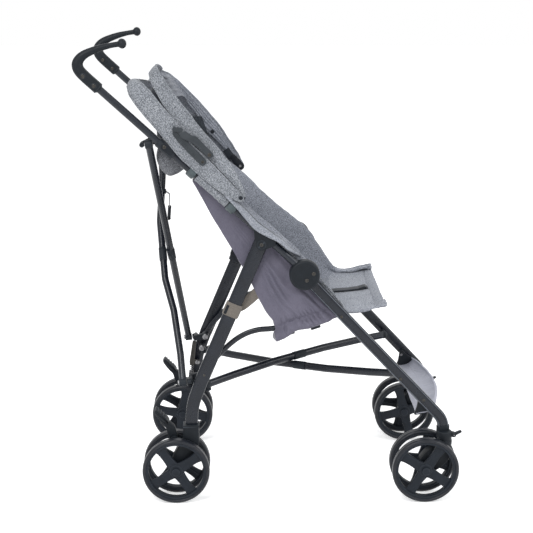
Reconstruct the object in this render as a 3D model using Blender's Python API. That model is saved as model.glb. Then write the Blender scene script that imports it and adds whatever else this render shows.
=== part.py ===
# A folding pushchair of the two-handle kind, built in metres with +Z up.
# +X is the way it is pushed, -Y is its right side, and z = 0 is the floor.
# Places in the side view are given as (along, up), where along is measured
# from the rear axle and up from the floor.
import math

import bmesh
import bpy
from mathutils import Matrix, Vector

# Where the rear axle stands, which puts the middle of the length on x = 0.
REAR_AXLE_X = -0.2193

# Clearances.
GAP = 0.0003
BORE_GAP = 0.0003
LAYER_GAP = 0.0015

# Wheels.
WHEEL_R = 0.075
WHEEL_SIDES = 20
WHEEL_W = 0.022
TYRE_BAND = 0.0115
WEB_THICK = 0.009
WHEEL_HUB_R = 0.0145
AXLE_R = 0.004
WHEEL_PAIR_HALF = 0.0290
AXLE_CAP_R = 0.0085
STEM_R = 0.0065
AXLE_CAP_T = 0.0025

# Side layers, as distances from the middle plane to a part's centre.
LEG_Y = 0.183
LEG_T = 0.014
HUB_T = 0.024
TUBE_HUB_Y = LEG_Y + LEG_T / 2 + LAYER_GAP + 0.010
TUBE_END_Y = 0.2055
LINK_T = 0.010
LINK_Y = LEG_Y - LEG_T / 2 - 0.0095 - LINK_T / 2
KNUCKLE_T = 0.011
KNUCKLE_Y = LINK_Y - LINK_T / 2 - LAYER_GAP - KNUCKLE_T / 2
FRONT_PAIR_Y = 0.189
REAR_PAIR_Y = LEG_Y

# Side view points.
TUBE_LOW = (0.2750, 0.5370)
TUBE_TOP = (-0.1500, 0.9250)
TUBE_IN_GRIP = 0.030
HUB_C = (0.2835, 0.5223)
HUB_R = 0.033
LEG_PIVOT = (0.3027, 0.5273)
HUB_RIVET = (0.2880, 0.5122)
REAR_PIVOT = (0.1905, 0.5908)
LINK_FRONT = (0.3661, 0.4232)
LINK_REAR = (0.0587, 0.2780)
BRACE_TOP_PIVOT = (-0.0136, 0.8025)
BRACE_TOP = (-0.0475, 0.8060)
BRACE_FOOT = (0.0165, 0.2700)
LOWER_REAR = (0.0500, 0.2490)
LOWER_FRONT = (0.5000, 0.2790)
FOOT_PIVOT = (0.5530, 0.2291)
CASTER_X = 0.6020
CASTER_TRAIL = 0.0445
FRONT_AXLE = (CASTER_X - CASTER_TRAIL, WHEEL_R)
FORK_TOP = 0.1215
REAR_AXLE = (0.0, WHEEL_R)
HOOD_PIVOT = (0.1460, 0.6940)
BRAKE_PIVOT = (-0.0040, 0.1420)
LOCK_PIVOT = (CASTER_X + 0.0212, 0.1475)
LOCK_TIP = (CASTER_X + 0.0365, 0.1545)
FOLD_LOCK_PIVOT = (0.0380, 0.2080)

# Tubes.
PUSH_R = 0.0080
GRIP_R = 0.0118
FRONT_LEG_W = 0.0245
REAR_LEG_W_TOP = 0.0320
REAR_LEG_W_LOW = 0.0275
LINK_W = 0.0120
BRACE_R = 0.0080
LOWER_BRACE_R = 0.0078
PIN_R = 0.0040
PIN_HEAD_R = 0.0070
PIN_HEAD_T = 0.0022
RIVET_R = 0.0042
RIVET_T = 0.0014
BRACE_TOP_Y = 0.1950
BRACE_FOOT_Y = 0.1750
KNUCKLE_ARM_Y = 0.1815
KNUCKLE_ARM_T = 0.0077
LOWER_BRACE_Y = 0.1300
LOWER_END_Y = 0.1500

# The fold lock's inner face.
FOLD_LOCK_Y = 0.1580
FOLD_LOCK_T = 0.0050

# Soft goods.
SKIRT_Y = 0.1728
SKIRT_T = 0.0042
SLING_Y = 0.1450
SLING_T = 0.0070

# The hood, measured along its folded bands from their pivot and up from them.
HOOD_REAR_Y = 0.2142
HOOD_FRONT_Y = 0.2078
HOOD_BAND_T = 0.0056
HOOD_REAR_REACH = 0.3350
HOOD_FRONT_REACH = 0.3120
HOOD_TILT = math.radians(135.5)
STAY_Y = 0.2185
STAY_T = 0.0026
STAY_PEG_R = 0.0020
STAY_REAR_AT = (0.1110, -0.0005)
STAY_FRONT_AT = (0.1116, 0.0205)
STAY_REAR_END_AT = (0.1930, 0.0010)
STAY_FRONT_END_AT = (0.1910, 0.0160)
STAY_ELBOW_AT = (0.2010, 0.0085)

# The lock spring's coil.
SPRING_LOW = 0.1772
SPRING_HIGH = 0.1975
SPRING_TURNS = 5
SPRING_R = 0.0040
SPRING_WIRE_R = 0.0008

RIGHT, LEFT = -1, 1


# Basic helpers.

def at(x, y, z):
    return Vector((x + REAR_AXLE_X, y, z))


def side(point, y):
    return at(point[0], y, point[1])


def clear_scene():
    for item in list(bpy.data.objects):
        bpy.data.objects.remove(item, do_unlink=True)
    for mesh in list(bpy.data.meshes):
        bpy.data.meshes.remove(mesh)


def coat(item, rgb, metal, rough):
    look = bpy.data.materials.new(item.name + "_look")
    look.use_nodes = True
    shader = look.node_tree.nodes["Principled BSDF"]
    shader.inputs["Base Color"].default_value = (*rgb, 1.0)
    shader.inputs["Metallic"].default_value = metal
    shader.inputs["Roughness"].default_value = rough
    item.data.materials.clear()
    item.data.materials.append(look)


def powder_coat(item):
    coat(item, (0.028, 0.034, 0.044), 0.4, 0.42)


def black_plastic(item):
    coat(item, (0.016, 0.019, 0.023), 0.0, 0.55)


def bare_steel(item):
    coat(item, (0.55, 0.55, 0.56), 1.0, 0.30)


def rubber(item):
    coat(item, (0.020, 0.022, 0.026), 0.0, 0.70)


def heather_cloth(item):
    coat(item, (0.27, 0.28, 0.30), 0.0, 0.92)


def lining_cloth(item):
    coat(item, (0.17, 0.155, 0.19), 0.0, 0.90)


def strap_web(item):
    coat(item, (0.19, 0.17, 0.14), 0.0, 0.90)


def finish_mesh(name, work):
    bmesh.ops.remove_doubles(work, verts=work.verts, dist=1e-6)
    bmesh.ops.recalc_face_normals(work, faces=work.faces)
    mesh = bpy.data.meshes.new(name)
    work.to_mesh(mesh)
    work.free()
    item = bpy.data.objects.new(name, mesh)
    bpy.context.collection.objects.link(item)
    return item


def turn_about(item, point):
    # puts the piece's origin on its joint's axis
    item.data.transform(Matrix.Translation(-point))
    item.location = point
    return item


def smooth(item, degrees=35):
    for face in item.data.polygons:
        face.use_smooth = True
    limit = math.radians(degrees)
    work = bmesh.new()
    work.from_mesh(item.data)
    for edge in work.edges:
        if len(edge.link_faces) == 2:
            edge.smooth = edge.calc_face_angle(0.0) < limit
    work.to_mesh(item.data)
    work.free()
    return item


def stack_rings(name, rings, closed_ends=True):
    work = bmesh.new()
    made = [[work.verts.new(p) for p in ring] for ring in rings]
    count = len(made[0])
    for low, high in zip(made, made[1:]):
        for i in range(count):
            j = (i + 1) % count
            work.faces.new((low[i], low[j], high[j], high[i]))
    if closed_ends:
        work.faces.new(list(reversed(made[0])))
        work.faces.new(made[-1])
    return finish_mesh(name, work)


def prism(name, outline, y_from, y_to):
    rings = [[side(p, y) for p in outline] for y in (y_from, y_to)]
    return stack_rings(name, rings)


def cylinder(name, start, end, radius, around=10, end_radius=None):
    axis = (end - start).normalized()
    across = axis.orthogonal().normalized()
    over = axis.cross(across)
    rings = []
    for centre, r in ((start, radius), (end, end_radius or radius)):
        ring = []
        for i in range(around):
            a = 2 * math.pi * i / around
            ring.append(centre + r * (math.cos(a) * across + math.sin(a) * over))
        rings.append(ring)
    return stack_rings(name, rings)


def y_cylinder(name, point, y_from, y_to, radius, around=10):
    return cylinder(name, side(point, y_from), side(point, y_to), radius, around)


def ball(name, centre, radius, around=10, rows=6):
    rings = []
    for k in range(1, rows):
        a = math.pi * k / rows
        ring = []
        for i in range(around):
            b = 2 * math.pi * i / around
            flat = radius * math.sin(a)
            ring.append(centre + Vector((flat * math.cos(b), flat * math.sin(b),
                                         -radius * math.cos(a))))
        rings.append(ring)
    return stack_rings(name, rings)


def box(name, low, high):
    outline = [(low[0], low[2]), (high[0], low[2]), (high[0], high[2]), (low[0], high[2])]
    return prism(name, outline, low[1], high[1])


def merge(target, others, operation="UNION"):
    for other in others:
        step = target.modifiers.new("join", "BOOLEAN")
        step.operation = operation
        step.solver = "EXACT"
        step.object = other
        other.hide_render = True
        other.display_type = "WIRE"
        bpy.context.view_layer.objects.active = target
        with bpy.context.temp_override(object=target, active_object=target):
            bpy.ops.object.modifier_apply(modifier=step.name)
        bpy.data.objects.remove(other, do_unlink=True)
    return target


def cut(target, others):
    return merge(target, others, "DIFFERENCE")


# Curves and sweeps.

def rounded_path(points, radius, steps=4):
    out = [points[0]]
    for before, corner, after in zip(points, points[1:], points[2:]):
        first = (before - corner).normalized()
        last = (after - corner).normalized()
        turn = math.pi - first.angle(last)
        if turn < 0.02:
            out.append(corner)
            continue
        back = radius * math.tan(turn / 2)
        back = min(back, 0.45 * (before - corner).length, 0.45 * (after - corner).length)
        start, end = corner + first * back, corner + last * back
        for i in range(steps + 1):
            t = i / steps
            out.append((1 - t) ** 2 * start + 2 * t * (1 - t) * corner + t * t * end)
    out.append(points[-1])
    return out


def oval_ring(centre, along, wide_way, half_wide, half_thick, around):
    thick_way = along.cross(wide_way).normalized()
    ring = []
    for i in range(around):
        a = 2 * math.pi * (i + 0.5) / around
        c, s = math.cos(a), math.sin(a)
        power = 0.72 if half_wide > half_thick * 1.2 else 1.0
        w = half_wide * math.copysign(abs(c) ** power, c)
        t = half_thick * math.copysign(abs(s) ** power, s)
        ring.append(centre + w * wide_way + t * thick_way)
    return ring


def sweep(name, path, half_wide, half_thick, around=12, flat_side=None):
    count = len(path)
    rings = []
    reference = flat_side
    for i, point in enumerate(path):
        before = path[max(i - 1, 0)]
        after = path[min(i + 1, count - 1)]
        along = (after - before).normalized()
        if flat_side is None:
            if reference is None:
                reference = along.orthogonal().normalized()
            reference = (reference - along * reference.dot(along)).normalized()
            wide = reference
        else:
            wide = flat_side.cross(along).normalized()
        share = i / (count - 1)
        hw = half_wide(share) if callable(half_wide) else half_wide
        ht = half_thick(share) if callable(half_thick) else half_thick
        rings.append(oval_ring(point, along, wide, hw, ht, around))
    return stack_rings(name, rings)


def disc_outline(point, radius, around=24):
    return [
        (point[0] + radius * math.cos(2 * math.pi * i / around),
         point[1] + radius * math.sin(2 * math.pi * i / around))
        for i in range(around)
    ]


def hull_outline(points):
    points = sorted(set(points))

    def half(line):
        chain = []
        for p in line:
            while len(chain) > 1:
                a, b = chain[-2], chain[-1]
                if (b[0] - a[0]) * (p[1] - a[1]) - (b[1] - a[1]) * (p[0] - a[0]) > 0:
                    break
                chain.pop()
            chain.append(p)
        return chain[:-1]

    return half(points) + half(list(reversed(points)))


def strap_outline(ends, around=10):
    points = []
    for point, radius in ends:
        points += disc_outline(point, radius, around)
    return hull_outline(points)


def pin_with_head(name, point, y_face, y_head, radius=PIN_R, head=PIN_HEAD_R):
    # the pin runs from inside its carrier at y_face to a head beyond y_head
    way = 1 if y_head > y_face else -1
    tip = y_head + way * PIN_HEAD_T
    shaft = y_cylinder(name, point, y_face, y_head + way * PIN_HEAD_T * 0.5, radius)
    cap = y_cylinder(name + "_cap", point, y_head, tip, head)
    return merge(shaft, [cap])


def tube_axis_y(along_share):
    return TUBE_HUB_Y + (TUBE_END_Y - TUBE_HUB_Y) * along_share


def tube_point(share, hand):
    # share 0 is the hub end of the push tube and 1 its grip end
    x = TUBE_LOW[0] + (TUBE_TOP[0] - TUBE_LOW[0]) * share
    z = TUBE_LOW[1] + (TUBE_TOP[1] - TUBE_LOW[1]) * share
    return at(x, hand * tube_axis_y(share), z)


def tube_share(x):
    return (x - TUBE_LOW[0]) / (TUBE_TOP[0] - TUBE_LOW[0])


def tube_path(hand):
    start, end = tube_point(0.0, hand), tube_point(1.0, hand)
    along = (end - start).normalized()
    return [start, start.lerp(end, 0.5), end + along * TUBE_IN_GRIP]


def tube_cutter(hand):
    path = tube_path(hand)
    along = (path[-1] - path[0]).normalized()
    r = PUSH_R + GAP
    return cylinder("tube_cutter", path[0] - along * GAP, path[-1] + along * GAP, r, 16)


# The push tubes and what is fixed to them.

def push_tube(name, hand):
    item = sweep(name, tube_path(hand), PUSH_R, PUSH_R, 16)
    powder_coat(item)
    return turn_about(smooth(item), tube_point(0.0, hand))


def grip(name, hand):
    tube_start, tube_end = tube_point(0.0, hand), tube_point(1.0, hand)
    along = (tube_end - tube_start).normalized()
    y = tube_end.y
    bend = [(-0.1905, 0.9700), (-0.1885, 0.9805), (-0.1800, 0.9905), (-0.1660, 0.9985),
            (-0.1428, 1.0070)]
    tip = [(-0.1222, 1.0121), (-0.1060, 1.0148)]
    path = [tube_end - along * 0.004, tube_end + along * 0.014, tube_end + along * 0.030]
    path.append(side((-0.1855, 0.9590), y))
    path += [side(p, y) for p in bend + tip]

    def thick(share):
        if share < 0.45:
            return GRIP_R
        return GRIP_R + (0.0056 - GRIP_R) * min(1.0, (share - 0.45) / 0.4)

    item = sweep(name, path, thick, thick, 10)
    knob = ball("knob", side((-0.0985, 1.0158), y), 0.0090)
    item = merge(item, [knob])
    for place in ((-0.1790, 0.9500), (-0.1570, 0.9300)):
        outer = y + hand * (GRIP_R - 0.003)
        tip_y = y + hand * (GRIP_R + RIVET_T)
        rivet = y_cylinder("rivet", place, outer, tip_y, RIVET_R, 8)
        item = merge(item, [rivet])
    item = cut(item, [tube_cutter(hand)])
    black_plastic(item)
    return turn_about(smooth(item), tube_end)


def hub(name, hand):
    inner = LEG_Y + LEG_T / 2 + LAYER_GAP
    outer = inner + HUB_T
    rings = []
    for y, r in ((inner, HUB_R - 0.0015), (inner + 0.0015, HUB_R),
                 (outer - 0.004, HUB_R), (outer - 0.0015, HUB_R - 0.002),
                 (outer, HUB_R - 0.006)):
        rings.append([side(p, hand * y) for p in disc_outline(HUB_C, r, 20)])
    item = stack_rings(name, rings)
    for place in (LEG_PIVOT, HUB_RIVET):
        rivet = y_cylinder("rivet", place, hand * (outer - 0.004),
                           hand * (outer + RIVET_T), RIVET_R, 8)
        item = merge(item, [rivet])
    head = LEG_Y - LEG_T / 2 - GAP
    pin = pin_with_head("pin", LEG_PIVOT, hand * (inner + 0.004), hand * head)
    item = merge(item, [pin])
    item = cut(item, [tube_cutter(hand)])
    black_plastic(item)
    return turn_about(smooth(item), side(HUB_C, hand * inner))


def leg_bracket(name, hand):
    # a plate hugging the push tube that carries the rear leg's pivot
    inner = LEG_Y + LEG_T / 2 + LAYER_GAP
    outer = inner + 0.0205
    share = tube_share(REAR_PIVOT[0] + 0.010)
    x = TUBE_LOW[0] + (TUBE_TOP[0] - TUBE_LOW[0]) * share
    z = TUBE_LOW[1] + (TUBE_TOP[1] - TUBE_LOW[1]) * share
    run = Vector((TUBE_TOP[0] - TUBE_LOW[0], TUBE_TOP[1] - TUBE_LOW[1])).normalized()
    ends = [(REAR_PIVOT, 0.0135)]
    for reach in (-0.014, 0.022):
        ends.append(((x + run.x * reach, z + run.y * reach), 0.0105))
    item = prism(name, strap_outline(ends), hand * inner, hand * outer)
    rivet = y_cylinder("rivet", REAR_PIVOT, hand * (outer - 0.004),
                       hand * (outer + RIVET_T), RIVET_R, 8)
    pin = pin_with_head("pin", REAR_PIVOT, hand * (inner + 0.004),
                        hand * (LEG_Y - LEG_T / 2 - GAP))
    item = merge(item, [rivet, pin])
    item = cut(item, [tube_cutter(hand)])
    black_plastic(item)
    return turn_about(smooth(item), side(REAR_PIVOT, hand * inner))


def brace_clamp(name, hand):
    # a sleeve on the push tube with the pin that the brace's knuckle turns on
    share = tube_share(BRACE_TOP_PIVOT[0])
    centre = tube_point(share, hand)
    along = (tube_point(1.0, hand) - tube_point(0.0, hand)).normalized()
    item = cylinder(name, centre - along * 0.026, centre + along * 0.018, 0.0112, 16)
    y = tube_axis_y(share)
    knuckle_in = KNUCKLE_ARM_Y - KNUCKLE_ARM_T
    pin = pin_with_head("pin", BRACE_TOP_PIVOT, hand * (y - 0.009),
                        hand * (knuckle_in - GAP))
    rivet = y_cylinder("rivet", BRACE_TOP_PIVOT, hand * (y + 0.009),
                       hand * (y + 0.0112 + RIVET_T), RIVET_R, 8)
    item = merge(item, [pin, rivet])
    item = cut(item, [tube_cutter(hand)])
    black_plastic(item)
    return turn_about(smooth(item), side(BRACE_TOP_PIVOT, hand * y))


# Legs.

def front_leg_path(hand):
    y = hand * LEG_Y
    points = [HUB_RIVET, (0.5640, 0.2180), (CASTER_X - 0.003, 0.1800),
              (CASTER_X - 0.003, 0.1400)]
    start = Vector((LINK_FRONT[0] - HUB_RIVET[0], LINK_FRONT[1] - HUB_RIVET[1])).normalized()
    points[0] = (HUB_RIVET[0] - start.x * 0.004, HUB_RIVET[1] - start.y * 0.004)
    return rounded_path([side(p, y) for p in points], 0.09, 3)


def front_leg(name, hand):
    y_way = Vector((0, 1, 0))
    item = sweep(name, front_leg_path(hand), FRONT_LEG_W / 2, LEG_T / 2, 8, y_way)
    half = LEG_T / 2 - 0.0002
    lug = prism("lug", strap_outline([(LEG_PIVOT, 0.0105), (HUB_RIVET, 0.0120),
                                      ((0.3040, 0.4930), 0.0115)]),
                hand * (LEG_Y - half), hand * (LEG_Y + half))
    parts = [lug]
    for place in (LINK_FRONT, LOWER_FRONT, FOOT_PIVOT):
        parts.append(y_cylinder("rivet", place, hand * (LEG_Y + 0.003),
                                hand * (LEG_Y + LEG_T / 2 + RIVET_T), RIVET_R, 8))
    stub_in = LOWER_END_Y + LOWER_BRACE_R + 0.0035
    parts.append(y_cylinder("stub", LOWER_FRONT, hand * (LEG_Y - 0.002),
                            hand * stub_in, 0.0065))
    foot_in = LEG_Y - LEG_T / 2 - 0.0030
    parts.append(y_cylinder("foot_boss", FOOT_PIVOT, hand * (LEG_Y - 0.002),
                            hand * foot_in, 0.0065))
    item = merge(item, parts)
    bore = y_cylinder("bore", LEG_PIVOT, hand * (LEG_Y - 0.02), hand * (LEG_Y + 0.02),
                      PIN_R + BORE_GAP)
    item = cut(item, [bore])
    powder_coat(item)
    return turn_about(smooth(item), side(LEG_PIVOT, hand * LEG_Y))


def rear_leg_path(hand):
    y = hand * LEG_Y
    up = Vector((REAR_PIVOT[0] - LINK_REAR[0], REAR_PIVOT[1] - LINK_REAR[1])).normalized()
    top = (REAR_PIVOT[0] + up.x * 0.014, REAR_PIVOT[1] + up.y * 0.014)
    points = [top, LINK_REAR, (0.0375, 0.2200), (0.0335, 0.1560)]
    return rounded_path([side(p, y) for p in points], 0.16, 3)


def rear_leg_half_wide(extra=0.0):
    def half(share):
        return (REAR_LEG_W_TOP + (REAR_LEG_W_LOW - REAR_LEG_W_TOP) * share) / 2 + extra
    return half


def rear_leg(name, hand):
    y_way = Vector((0, 1, 0))
    item = sweep(name, rear_leg_path(hand), rear_leg_half_wide(), LEG_T / 2, 8, y_way)
    inner = LEG_Y - LEG_T / 2
    head = KNUCKLE_Y - KNUCKLE_T / 2 - GAP
    pins = [pin_with_head("pin", p, hand * (inner + 0.004), hand * head)
            for p in (LINK_REAR, LOWER_REAR)]
    spacer = y_cylinder("spacer", LINK_REAR, hand * (inner + 0.002),
                        hand * (LINK_Y + LINK_T / 2 + GAP), 0.0085)
    item = merge(item, pins + [spacer])
    spacer = y_cylinder("spacer", LOWER_REAR, hand * (inner + 0.002),
                        hand * (KNUCKLE_Y + KNUCKLE_T / 2 + GAP), 0.0060)
    item = merge(item, [spacer])
    if hand == LEFT:
        head = FOLD_LOCK_Y - GAP
        item = merge(item, [pin_with_head("pin", FOLD_LOCK_PIVOT, inner + 0.004, head,
                                          0.0030, 0.0055)])
    bore = y_cylinder("bore", REAR_PIVOT, hand * (LEG_Y - 0.02), hand * (LEG_Y + 0.02),
                      PIN_R + BORE_GAP)
    item = cut(item, [bore])
    powder_coat(item)
    return turn_about(smooth(item), side(REAR_PIVOT, hand * LEG_Y))


def side_link(name, hand):
    y = hand * LINK_Y
    points = [LINK_REAR, (0.0812, 0.3127), (0.1214, 0.3543), (0.1525, 0.3760),
              (0.1834, 0.3865), (0.2201, 0.3900), (0.3000, 0.4020), LINK_FRONT]
    path = [side(p, y) for p in points]
    item = sweep(name, path, LINK_W / 2, LINK_T / 2, 8, Vector((0, 1, 0)))
    half = LINK_T / 2 - 0.0002
    ends = [y_cylinder("eye", p, hand * (LINK_Y - half), hand * (LINK_Y + half), 0.0088)
            for p in (LINK_REAR, LINK_FRONT)]
    # the front rivet's collar reaches towards the front leg without entering it
    ends.append(y_cylinder("collar", LINK_FRONT, hand * LINK_Y,
                           hand * (LEG_Y - LEG_T / 2 - 0.0006), 0.0048))
    item = merge(item, ends)
    bore = y_cylinder("bore", LINK_REAR, hand * (LINK_Y - 0.02), hand * (LINK_Y + 0.02),
                      PIN_R + BORE_GAP)
    item = cut(item, [bore])
    powder_coat(item)
    return turn_about(smooth(item), side(LINK_REAR, y))


# Wheels, casters and brakes.

def wheel(name, centre, y_mid, arm_turn):
    half = WHEEL_W / 2
    rim = WHEEL_R - TYRE_BAND
    profile = [(rim, -half + 0.001), (WHEEL_R - 0.0035, -half), (WHEEL_R, -half + 0.004),
               (WHEEL_R, half - 0.004), (WHEEL_R - 0.0035, half), (rim, half - 0.001)]
    around = WHEEL_SIDES
    # radii are measured to the flats, and one flat lies on the floor
    spread = 1 / math.cos(math.pi / around)
    work = bmesh.new()
    rings = []
    for i in range(around):
        a = 2 * math.pi * (i + 0.5) / around
        ring = []
        for r, y in [(r * spread, y) for r, y in profile]:
            ring.append(work.verts.new(side((centre[0] + r * math.cos(a),
                                             centre[1] + r * math.sin(a)), y_mid + y)))
        rings.append(ring)
    for i in range(around):
        a, b = rings[i], rings[(i + 1) % around]
        for k in range(len(profile)):
            m = (k + 1) % len(profile)
            work.faces.new((a[k], a[m], b[m], b[k]))
    item = finish_mesh(name, work)
    web = prism("web", disc_outline(centre, rim + 0.003, around),
                y_mid - WEB_THICK / 2, y_mid + WEB_THICK / 2)
    boss = y_cylinder("boss", centre, y_mid - half + 0.0005, y_mid + half - 0.0005,
                      WHEEL_HUB_R, 12)
    holes = []
    for k in range(4):
        turn = arm_turn + math.pi / 4 + k * math.pi / 2
        outline = []
        for t in range(6):
            a = 2 * math.pi * (t + 0.5) / 6
            u = 0.0405 + 0.0150 * math.cos(a)
            v = 0.0190 * math.sin(a) * (1.0 + 0.25 * math.cos(a))
            outline.append((centre[0] + u * math.cos(turn) - v * math.sin(turn),
                            centre[1] + u * math.sin(turn) + v * math.cos(turn)))
        holes.append(prism("hole", outline, y_mid - 0.02, y_mid + 0.02))
    web = cut(web, holes)
    item = merge(item, [web, boss])
    bore = y_cylinder("bore", centre, y_mid - 0.03, y_mid + 0.03, AXLE_R + BORE_GAP)
    item = cut(item, [bore])
    rubber(item)
    return turn_about(smooth(item), side(centre, y_mid))


def axle_parts(centre, y_mid):
    reach = WHEEL_PAIR_HALF + WHEEL_W / 2 + GAP
    parts = [y_cylinder("axle", centre, y_mid - reach - AXLE_CAP_T * 0.5,
                        y_mid + reach + AXLE_CAP_T * 0.5, AXLE_R)]
    for way in (-1, 1):
        parts.append(y_cylinder("cap", centre, y_mid + way * reach,
                                y_mid + way * (reach + AXLE_CAP_T), AXLE_CAP_R))
    return parts


def block_half():
    return WHEEL_PAIR_HALF - WHEEL_W / 2 - 0.0030


def rear_axle_block(name, hand):
    y = hand * REAR_PAIR_Y
    half = block_half()
    outline = [(0.0165, 0.1760), (0.0510, 0.1760), (0.0515, 0.1320), (0.0400, 0.1010),
               (0.0200, 0.0700), (0.0080, 0.0580), (-0.0090, 0.0590), (-0.0150, 0.0720),
               (-0.0100, 0.0950), (0.0040, 0.1250), (0.0150, 0.1400)]
    item = prism(name, outline, y - half, y + half)
    # two cheeks and a cross pin hold the brake pedal
    for way in (-1, 1):
        cheek = prism("cheek", strap_outline([(BRAKE_PIVOT, 0.0075), ((0.0200, 0.1300), 0.010)]),
                      y + way * 0.0085, y + way * 0.0120)
        item = merge(item, [cheek])
    item = merge(item, [y_cylinder("pin", BRAKE_PIVOT, y - 0.0105, y + 0.0105, 0.0030)])
    item = merge(item, axle_parts(REAR_AXLE, y))
    socket = sweep("socket", rear_leg_path(hand), rear_leg_half_wide(GAP),
                   LEG_T / 2 + GAP, 8, Vector((0, 1, 0)))
    item = cut(item, [socket])
    black_plastic(item)
    return turn_about(smooth(item, 30), side(REAR_AXLE, y))


def brake_pedal(name, hand):
    y = hand * REAR_PAIR_Y
    stem = [(-0.0105, 0.1340), (0.0025, 0.1340), (0.0030, 0.1500), (-0.0030, 0.1720),
            (-0.0120, 0.1790), (-0.0300, 0.1960), (-0.0420, 0.2110), (-0.0490, 0.2090),
            (-0.0480, 0.2010), (-0.0350, 0.1830), (-0.0240, 0.1720), (-0.0200, 0.1560)]
    item = prism(name, stem, y - 0.0075, y + 0.0075)
    tread = prism("tread", [(-0.0180, 0.1860), (-0.0140, 0.1800), (-0.0300, 0.1870),
                            (-0.0440, 0.2010), (-0.0480, 0.2080), (-0.0440, 0.2125)],
                  y - 0.0150, y + 0.0150)
    tread.data.validate()
    item = merge(item, [tread])
    bore = y_cylinder("bore", BRAKE_PIVOT, y - 0.03, y + 0.03, 0.0030 + BORE_GAP)
    item = cut(item, [bore])
    black_plastic(item)
    return turn_about(smooth(item, 30), side(BRAKE_PIVOT, y))


def caster_socket(name, hand):
    y = hand * FRONT_PAIR_Y
    x = CASTER_X
    item = cylinder(name, at(x, y, 0.1270), at(x, y, 0.1570), 0.0165, 14)
    skirt = cylinder("skirt", at(x, y, 0.1245), at(x, y, 0.1360), 0.0172, 14)
    item = merge(item, [skirt])
    for way in (-1, 1):
        cheek = prism("cheek", strap_outline([(LOCK_PIVOT, 0.0045),
                                              ((x + 0.012, 0.1490), 0.005)]),
                      y + way * 0.0050, y + way * 0.0075)
        item = merge(item, [cheek])
    item = merge(item, [y_cylinder("pin", LOCK_PIVOT, y - 0.006, y + 0.006, 0.0020, 14)])
    leg = sweep("leg", front_leg_path(hand), FRONT_LEG_W / 2 + GAP, LEG_T / 2 + GAP, 8,
                Vector((0, 1, 0)))
    bore = cylinder("bore", at(x, y, 0.1100), at(x, y, 0.1380), STEM_R + BORE_GAP, 12)
    item = cut(item, [leg, bore])
    black_plastic(item)
    return turn_about(smooth(item), at(x, y, 0.1270))


def swivel_lock(name, hand):
    y = hand * FRONT_PAIR_Y
    # the tongue stays above the highest place that the turning wheels reach
    tongue = strap_outline([(LOCK_PIVOT, 0.0030), (LOCK_TIP, 0.0020)])
    eye = prism("eye", disc_outline(LOCK_PIVOT, 0.0043, 12), y - 0.0042, y + 0.0042)
    item = prism(name, tongue, y - 0.0044, y + 0.0044)
    item = merge(item, [eye])
    bore = y_cylinder("bore", LOCK_PIVOT, y - 0.03, y + 0.03, 0.0020 + BORE_GAP, 10)
    item = cut(item, [bore])
    black_plastic(item)
    return turn_about(smooth(item, 30), side(LOCK_PIVOT, y))


def caster_fork(name, hand):
    y = hand * FRONT_PAIR_Y
    half = block_half()
    x, z = FRONT_AXLE
    # a pad below the stem that runs down and back to the axle's boss
    pad = [(CASTER_X - 0.0270, FORK_TOP), (CASTER_X + 0.0175, FORK_TOP),
           (CASTER_X + 0.0180, FORK_TOP - 0.0135)]
    arm = [(x + 0.0505, z + 0.0130), (x + 0.0325, z - 0.0050), (x + 0.0125, z - 0.0150),
           (x - 0.0075, z - 0.0150), (x - 0.0135, z - 0.0030), (x - 0.0125, z + 0.0150)]
    outline = pad + arm + [(CASTER_X - 0.0440, FORK_TOP - 0.0135)]
    item = prism(name, outline, y - half, y + half)
    stem = cylinder("stem", at(CASTER_X, y, 0.1150), at(CASTER_X, y, 0.1375), STEM_R, 12)
    item = merge(item, [stem])
    item = merge(item, axle_parts(FRONT_AXLE, y))
    black_plastic(item)
    return turn_about(smooth(item, 30), at(CASTER_X, y, 0.1270))


# The two crossed braces.

def brace_plane_normal():
    run = Vector((BRACE_FOOT[0] - BRACE_TOP[0], 0, BRACE_FOOT[1] - BRACE_TOP[1])).normalized()
    return Vector((run.z, 0, -run.x))


def top_knuckle(name, hand):
    # an arm that passes inside the brace's eye and holds its pin from behind
    outer, inner = KNUCKLE_ARM_Y, KNUCKLE_ARM_Y - KNUCKLE_ARM_T
    normal = brace_plane_normal()
    eye = side(BRACE_TOP, hand * BRACE_TOP_Y)
    back = eye + normal * (BRACE_R + 0.0065)
    back_point = (back.x - REAR_AXLE_X, back.z)
    knee = (BRACE_TOP[0] + 0.0025, BRACE_TOP[1] + 0.0065)
    item = prism(name, strap_outline([(BRACE_TOP_PIVOT, 0.0085), (knee, 0.0055)]),
                 hand * outer, hand * inner)
    rear = prism("rear", strap_outline([(knee, 0.0054), (back_point, 0.0053)]),
                 hand * (outer - 0.0002), hand * (inner + 0.0002))
    post = prism("post", disc_outline(back_point, 0.0054, 10),
                 hand * (inner + 0.001), hand * (BRACE_TOP_Y + 0.0040))
    pin = cylinder("pin", eye + normal * (BRACE_R + 0.004),
                   eye - normal * (BRACE_R + 0.0016), 0.0030, 10)
    cap = cylinder("cap", eye - normal * (BRACE_R + 0.0005),
                   eye - normal * (BRACE_R + 0.0018), 0.0045, 10)
    item = merge(item, [rear, post, pin, cap])
    bore = y_cylinder("bore", BRACE_TOP_PIVOT, hand * (outer + 0.01),
                      hand * (inner - 0.01), PIN_R + BORE_GAP)
    item = cut(item, [bore])
    black_plastic(item)
    return turn_about(smooth(item), side(BRACE_TOP_PIVOT, hand * outer))


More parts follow.
